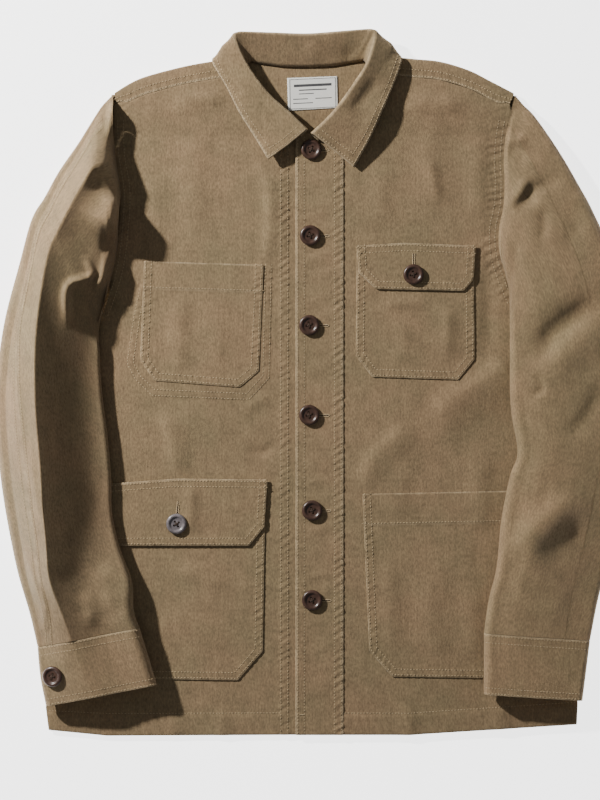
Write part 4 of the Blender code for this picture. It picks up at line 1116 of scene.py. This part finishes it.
def labelRules():
    verts, faces = [], []
    corner, across, up = np.array([-28.0, 286]), np.array([52.0, 2.4]), np.array([-0.6, 33.6])
    bars = [(0.04, 0.95, 0.96, 0.965), (0.04, 0.04, 0.96, 0.055), (0.035, 0.04, 0.047, 0.965),
        (0.953, 0.04, 0.965, 0.965),
            (0.12, 0.72, 0.88, 0.80), (0.22, 0.60, 0.78, 0.635), (0.22, 0.49, 0.52, 0.515),
                (0.10, 0.33, 0.40, 0.355),
            (0.55, 0.33, 0.88, 0.355), (0.10, 0.20, 0.50, 0.225)]
    for u0, v0, u1, v1 in bars:
        base = len(verts)
        for u, v in ((u0, v0), (u1, v0), (u1, v1), (u0, v1)):
            px, py = corner + across * u + up * v
            verts.append((px, py, float(labelHeights(px, py)) + 0.06))
        faces.append((base, base + 1, base + 2, base + 3))
    return makePiece("labelRules", verts, faces, labelInk)


labelRulesPiece = labelRules()
print("label laid")

# buttons

buttonSize = {"radius": 10.8, "height": 3.6, "holeRadius": 1.15, "holeSpread": 2.1, "settle": 0.75}
button = {
    "profile": [(0, 0.60), (0.3, 0.60), (0.5, 0.62), (0.6, 0.72), (0.68, 0.92), (0.76, 1.0), (0.84, 0.98),
        (0.92, 0.86), (0.98, 0.64),
                (1.0, 0.45), (0.96, 0.25), (0.85, 0.1), (0.6, 0.02), (0, 0)],
}


def buttonMesh():
    steps = 40
    radius, height = buttonSize["radius"], buttonSize["height"]
    profile = splineRows(button["profile"], np.linspace(0, 1, 30))
    profile[:, 0] = np.clip(profile[:, 0], 0, 1) * radius
    profile[:, 1] = np.clip(profile[:, 1], 0, 1.02) * height
    verts = [(0, 0, profile[0, 1])]
    faces = []
    turn = np.linspace(0, 2 * math.pi, steps, endpoint=False)
    inner = profile[1:-1]
    for r, z in inner:
        verts += [(r * math.cos(a), r * math.sin(a), z) for a in turn]
    verts.append((0, 0, profile[-1, 1]))
    for k in range(steps):
        faces.append((0, 1 + k, 1 + (k + 1) % steps))
    for i in range(len(inner) - 1):
        for k in range(steps):
            a, b = 1 + i * steps + k, 1 + i * steps + (k + 1) % steps
            faces.append((a, a + steps, b + steps, b))
    last = 1 + (len(inner) - 1) * steps
    for k in range(steps):
        faces.append((last + k, len(verts) - 1, last + (k + 1) % steps))
    mesh = bpy.data.meshes.new("buttonBlank")
    mesh.from_pydata([(x * mm, y * mm, z * mm) for x, y, z in verts], [], faces)
    blank = bpy.data.objects.new("buttonBlank", mesh)
    jacket.objects.link(blank)
    pins, pinFaces = [], []
    for cx, cy in ((1, 1), (-1, 1), (-1, -1), (1, -1)):
        base = len(pins)
        for z in (-1, 5):
            for k in range(12):
                a = 2 * math.pi * k / 12
                s, r = buttonSize["holeSpread"], buttonSize["holeRadius"]
                pins.append(((cx * s + r * math.cos(a)) * mm, (cy * s + r * math.sin(a)) * mm, z * mm))
        pinFaces += [[base + k for k in range(12)][::-1], [base + 12 + k for k in range(12)]]
        pinFaces += [[base + k, base + (k + 1) % 12, base + 12 + (k + 1) % 12,
            base + 12 + k] for k in range(12)]
    pinMesh = bpy.data.meshes.new("buttonPins")
    pinMesh.from_pydata(pins, [], pinFaces)
    pinPiece = bpy.data.objects.new("buttonPins", pinMesh)
    jacket.objects.link(pinPiece)
    cut = blank.modifiers.new("holes", "BOOLEAN")
    cut.operation = "DIFFERENCE"
    cut.object = pinPiece
    depsgraph = bpy.context.evaluated_depsgraph_get()
    made = bpy.data.meshes.new_from_object(blank.evaluated_get(depsgraph))
    bpy.data.objects.remove(blank)
    bpy.data.objects.remove(pinPiece)
    return made


buttonBase = buttonMesh()
buttons = {
    "frontButton1": ((-4, 245), "front_button_1"), "frontButton2": ((-5, 155), "front_button_2"),
    "frontButton3": ((-6, 61), "front_button_3"), "frontButton4": ((-6, -33), "front_button_4"),
    "frontButton5": ((-3, -133), "front_button_5"), "frontButton6": ((-3, -227), "front_button_6"),
    "chestFlapButton": ((103, 114), "chest_flap_button"), "hipFlapButton": ((-145, -147), "hip_flap_button"),
    "cuffRightButton": ((-273, -305, 22.6, -14), "cuff_right_button"),
    "cuffLeftButton": ((262, -300, 8.9, 180), "cuff_left_button"),
}


def threadCross(place):
    # thread over the holes: two short rounded bars
    verts, faces = [], []
    for sign in (1, -1):
        for k in range(9):
            s = (k / 8 * 2 - 1) * 1.9
            lift = 0.6 * buttonSize["height"] + 0.55 * math.cos(k / 8 * math.pi - math.pi / 2) - 0.1
            for a in range(6):
                angle = 2 * math.pi * a / 6
                off = 0.42 * math.cos(angle)
                verts.append(((s - sign * off) * mm, (s * sign + off) * mm,
                    (lift + 0.42 * math.sin(angle)) * mm))
    for bar in range(2):
        for k in range(8):
            for a in range(6):
                p = bar * 54 + k * 6 + a
                q = bar * 54 + k * 6 + (a + 1) % 6
                faces.append((p, q, q + 6, p + 6) if bar == 0 else (p, p + 6, q + 6, q))
        base = bar * 54
        faces.append([base + a for a in range(6)][::-1 if bar == 0 else 1])
        faces.append([base + 48 + a for a in range(6)][::1 if bar == 0 else -1])
    return verts, faces


buttonPieces = {}
for name, (spot, nodeName) in buttons.items():
    low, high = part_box(nodeName)
    mesh = buttonBase.copy()
    mesh.name = name
    tilt = spot[3] if len(spot) > 2 else 0
    base = spot[2] if len(spot) > 2 else low[2] / mm - (buttonSize["settle"] if nodeName.startswith("front") else 0)
    turn = Matrix.Translation(((spot[0]) * mm, (spot[1] + centreShiftY) * mm,
        base * mm)) @ Matrix.Rotation(math.radians(tilt), 4, "Y") \
        @ Matrix.Rotation(0.35 + 0.9 * math.sin(spot[1]), 4, "Z")
    mesh.transform(turn)
    mesh.materials.append(hornGrey if name == "hipFlapButton" else hornBrown)
    for face in mesh.polygons:
        face.use_smooth = True
    piece = bpy.data.objects.new(name, mesh)
    jacket.objects.link(piece)
    mesh.set_sharp_from_angle(angle=math.radians(50))
    verts, faces = threadCross(spot)
    threadMesh = bpy.data.meshes.new(name + "Thread")
    threadMesh.from_pydata(verts, [], faces)
    threadMesh.transform(turn)
    threadMesh.materials.append(darkThreadAndSlitShade)
    threadPiece = bpy.data.objects.new(name + "Thread", threadMesh)
    jacket.objects.link(threadPiece)
    buttonPieces[name] = (piece, threadPiece)
print("buttons turned")

# stitches: rows along the seams, one short rounded stitch repeated by geometry nodes

stitch = {"pitch": 3.3, "length": 2.5, "width": 0.75, "lift": 0.12}


def rowOver(line, heights, lift=stitch["lift"]):
    line = np.asarray(line, float)
    line = evenly(line, max(2, int(lineLength(line) / 1.6)))
    return np.column_stack([line, heights(line[:, 0], line[:, 1]) + lift])


rows = []
heightRight = frontHeights("right", frontRightDetails)
heightLeft = frontHeights("left", frontLeftDetails)
for name, pocket in pockets.items():
    heights = pocketHeights(pocket)
    sewn = np.array(pocket["left"][::-1][:-1] + pocket["bottom"] + pocket["right"][1:], float)
    for inset in (1.9, rimInset - 0.6):
        rows.append(rowOver(insetLine(sewn, inset), heights))
    if pocket.get("flap"):
        rows.append(rowOver(insetLine(np.array(pocket["top"])[::-1], 1.9), heights))
        rows.append(rowOver(insetLine(np.array(pocket["top"])[::-1], rimInset - 0.6), heights))
    if pocket["band"]:
        topLine = np.array(pocket["top"], float)
        rows.append(rowOver(topLine - [0, pocket["band"] - 2.2], heights))
for x in (-11.2, 20.4):
    rows.append(rowOver([(x, -366), (x, 258)], placketHeights))
rows.append(rowOver([(27.5, -366), (27.5, 268)], placketHeights))
rows.append(rowOver([(-18, -366), (-18, 258)], placketHeights))
for x in (-28.4, -35.7):
    rows.append(rowOver([(x, -367), (x, 258 if x > -30 else 262)], heightRight))
rows.append(rowOver([(-278, -343), (-218, -346), (-37, -345.5)], heightRight))
rows.append(rowOver([(32, -345.5), (100, -345.5), (272, -334)], heightLeft))


def gridRow(line, lift=stitch["lift"]):
    return np.asarray(line, float)[..., :3] + [0, 0, lift]


rows.append(rowOver(frontRows["insideChest"], heightRight))
rows.append(rowOver(insetLine(np.array(frontRows["insideChest"], float), 6.2), heightRight))
for seamLine, sign, heights in ((armSeamRight, 1, heightRight), (armSeamLeft, -1, heightLeft)):
    for inset in (3.0, 9.0):
        line = insetLine(seamLine, sign * inset)
        rows.append(rowOver(line[(line[:, 1] > 70) & (line[:, 1] < 276)], heights))
for grid in stripGrids:
    rows += [gridRow(grid[-2]), gridRow(grid[-6])]
for side, grid in cuffGrids.items():
    upper = np.nonzero(grid[5, :, 3] > 0.5)[0]
    rows += [gridRow(grid[k, upper]) for k in (2, 7, -3, -7)]
for column in (-3, 3):
    rows.append(gridRow(sleeveGrids["right"][26:, seamIndex + column], 0.3))
half = collar["thickness"] / 2
rows += [gridRow(collarGrid[2:-2, -2], half + 0.1), gridRow(collarGrid[5:-5, -5], half + 0.1)]
for near, far in ((2, 5), (-3, -6)):
    rows += [gridRow(collarGrid[near, 19:-2], half + 0.1), gridRow(collarGrid[far, 19:-5], half + 0.1)]


def stitchTree(name, material):
    tree = bpy.data.node_groups.new(name, "GeometryNodeTree")
    for socket, kind in (("Rows", "NodeSocketGeometry"), ("Pitch", "NodeSocketFloat"),
        ("Length", "NodeSocketFloat"),
                         ("Width", "NodeSocketFloat")):
        tree.interface.new_socket(socket, in_out="INPUT", socket_type=kind)
    tree.interface.new_socket("Stitches", in_out="OUTPUT", socket_type="NodeSocketGeometry")
    new, link = tree.nodes.new, tree.links.new
    given, result = new("NodeGroupInput"), new("NodeGroupOutput")
    curve = new("GeometryNodeMeshToCurve")
    link(given.outputs["Rows"], curve.inputs["Mesh"])
    spaced = new("GeometryNodeResampleCurve")
    spaced.mode = "LENGTH"
    link(curve.outputs["Curve"], spaced.inputs["Curve"])
    link(given.outputs["Pitch"], spaced.inputs["Length"])
    tangent = new("GeometryNodeInputTangent")
    aligned = new("FunctionNodeAlignRotationToVector")
    aligned.axis = "X"
    link(tangent.outputs["Tangent"], aligned.inputs["Vector"])
    ball = new("GeometryNodeMeshIcoSphere")
    ball.inputs["Radius"].default_value = 0.5
    ball.inputs["Subdivisions"].default_value = 1
    shape = new("ShaderNodeCombineXYZ")
    link(given.outputs["Length"], shape.inputs["X"])
    link(given.outputs["Width"], shape.inputs["Y"])
    link(given.outputs["Width"], shape.inputs["Z"])
    sized = new("GeometryNodeTransform")
    link(ball.outputs["Mesh"], sized.inputs["Geometry"])
    link(shape.outputs["Vector"], sized.inputs["Scale"])
    placed = new("GeometryNodeInstanceOnPoints")
    link(spaced.outputs["Curve"], placed.inputs["Points"])
    link(sized.outputs["Geometry"], placed.inputs["Instance"])
    link(aligned.outputs["Rotation"], placed.inputs["Rotation"])
    real = new("GeometryNodeRealizeInstances")
    link(placed.outputs["Instances"], real.inputs["Geometry"])
    coloured = new("GeometryNodeSetMaterial")
    coloured.inputs["Material"].default_value = material
    link(real.outputs["Geometry"], coloured.inputs["Geometry"])
    link(coloured.outputs["Geometry"], result.inputs["Stitches"])
    return tree


threadTree = stitchTree("stitchRow", tanThread)


def stitchPiece(name, rowList, size=stitch):
    verts, edges = [], []
    for row in rowList:
        base = len(verts)
        verts += [(x * mm, (y + centreShiftY) * mm, z * mm) for x, y, z in row]
        edges += [(base + k, base + k + 1) for k in range(len(row) - 1)]
    mesh = bpy.data.meshes.new(name)
    mesh.from_pydata(verts, edges, [])
    piece = bpy.data.objects.new(name, mesh)
    jacket.objects.link(piece)
    sewing = piece.modifiers.new("sewing", "NODES")
    sewing.node_group = threadTree
    values = {"Pitch": size["pitch"] * mm, "Length": size["length"] * mm, "Width": size["width"] * mm}
    for item in threadTree.interface.items_tree:
        if item.in_out == "INPUT" and item.name in values:
            sewing[item.identifier] = values[item.name]
    piece.update_tag()
    depsgraph = bpy.context.evaluated_depsgraph_get()
    done = bpy.data.meshes.new_from_object(piece.evaluated_get(depsgraph))
    piece.modifiers.clear()
    piece.data = done
    done.name = name
    for face in done.polygons:
        face.use_smooth = True
    return piece


stitchesBody = stitchPiece("stitchesBody", rows)

# each buttonhole: a dense ring of thread round its slit, a row of dark marks along the slit as painted shade in the
# cut, and a bar tack at the placket's foot
buttonholes = {"pitch": 0.7, "length": 0.9, "width": 1.1, "half": 1.0}
slits = [((2, 244.5), (14.5, 244.5), "placket"), ((2, 154.5), (14.5, 154.5), "placket"),
    ((1.5, 60.5), (14, 60.5), "placket"),
         ((1.5, -33.5), (14.5, -33.5), "placket"), ((4, -133.5), (16, -133.5), "placket"),
             ((4, -227.5), (16.5, -227.5), "placket"),
         ((-143, -124), (-144.5, -138), "hipFlapRight"), ((103.5, 136), (103.3, 122), "chestFlapLeft")]
holeHeights = {"placket": placketHeights}
for name, pocket in pockets.items():
    holeHeights[name] = pocketHeights(pocket)
holeRows, slitShadeRows = [], []
for start, end, where in slits:
    start, end = np.array(start, float), np.array(end, float)
    along = (end - start) / np.linalg.norm(end - start)
    side = np.array([-along[1], along[0]]) * buttonholes["half"]
    ring = np.array([start + side, end + side, end + side * 0.4 + along * 0.8,
        end - side * 0.4 + along * 0.8, end - side, start - side])
    holeRows.append(rowOver(ring, holeHeights[where], 0.1))
    slitShadeRows.append(rowOver([start, end], holeHeights[where], 0.05))
holeRows.append(rowOver([(-16, -347), (-11, -347)], placketHeights, 0.1))
buttonholeThread = stitchPiece("buttonholeThread", holeRows, buttonholes)
# the slit marks take the dark thread colour: painted shade in each cut, not thread
threadTree.nodes["Set Material"].inputs["Material"].default_value = darkThreadAndSlitShade
buttonholeSlitShade = stitchPiece("buttonholeSlitShade", slitShadeRows, {"pitch": 0.7, "length": 1.2, "width": 0.7})
print("stitches sewn", len(stitchesBody.data.polygons))

# riding, replacing, naming finishes

allPieces = [p for p in jacket.objects]
for piece in allPieces:
    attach(piece, "root")
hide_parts("front_right")
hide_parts("front_left")
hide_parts("back")
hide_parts("placket_left")
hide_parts("collar")
for side, (upper, under) in sleevePieces.items():
    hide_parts(f"sleeve_{side}_upper")
    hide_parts(f"sleeve_{side}_under")
    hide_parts(f"cuff_{side}")
for name, pocket in pockets.items():
    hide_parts(pocket["node"])
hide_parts("neck_label")
for name, (spot, nodeName) in buttons.items():
    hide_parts(nodeName)
    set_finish(buttonPieces[name][0], "button_brown")
for piece in allPieces:
    if "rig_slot" not in piece and piece.data.materials and piece.data.materials[0] == khakiTwill:
        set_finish(piece, "khaki_twill")
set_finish(labelPiece, "label_white")


# floor, light and camera

studio = {"lampPlace": (-1.62, 1.16, 0.98), "lampPower": 94, "lampSize": 0.11, "fill": 0.19,
          "floorGlow": 3.0, "cameraHeight": 2.5, "frameHeight": 0.84}
floorMesh = bpy.data.meshes.new("floor")
floorMesh.from_pydata([(-3, -3, -0.0006), (3, -3, -0.0006), (3, 3, -0.0006), (-3, 3, -0.0006)], [],
    [(0, 1, 2, 3)])
floor = bpy.data.objects.new("floor", floorMesh)
bpy.context.scene.collection.objects.link(floor)
floorPaint = bpy.data.materials.new("floorPaint")
floorPaint.use_nodes = True
floorShader = floorPaint.node_tree.nodes["Principled BSDF"]
floorShader.inputs["Base Color"].default_value = (0.85, 0.85, 0.86, 1)
floorShader.inputs["Roughness"].default_value = 0.9
floorShader.inputs["Emission Color"].default_value = (1, 1, 1, 1)
floorShader.inputs["Emission Strength"].default_value = studio["floorGlow"]
floorMesh.materials.append(floorPaint)

keyLight = bpy.data.lights.new("key", "AREA")
keyLight.shape = "DISK"
keyLight.size = studio["lampSize"]
keyLight.energy = studio["lampPower"]
keyLight.color = (1.0, 0.985, 0.95)
keyLamp = bpy.data.objects.new("key", keyLight)
keyLamp.location = studio["lampPlace"]
keyLamp.rotation_euler = Vector(studio["lampPlace"]).to_track_quat("Z", "Y").to_euler()
bpy.context.scene.collection.objects.link(keyLamp)
world = bpy.data.worlds.new("studio")
world.use_nodes = True
world.node_tree.nodes["Background"].inputs["Color"].default_value = (0.93, 0.96, 1.0, 1)
world.node_tree.nodes["Background"].inputs["Strength"].default_value = studio["fill"]
bpy.context.scene.world = world

camera = bpy.data.cameras.new("overhead")
camera.sensor_width = 36
camera.lens = 36 * studio["cameraHeight"] / studio["frameHeight"]
view = bpy.data.objects.new("overhead", camera)
view.location = (-0.01575, -0.01775, studio["cameraHeight"])
bpy.context.scene.collection.objects.link(view)
bpy.context.scene.camera = view
print("studio set")
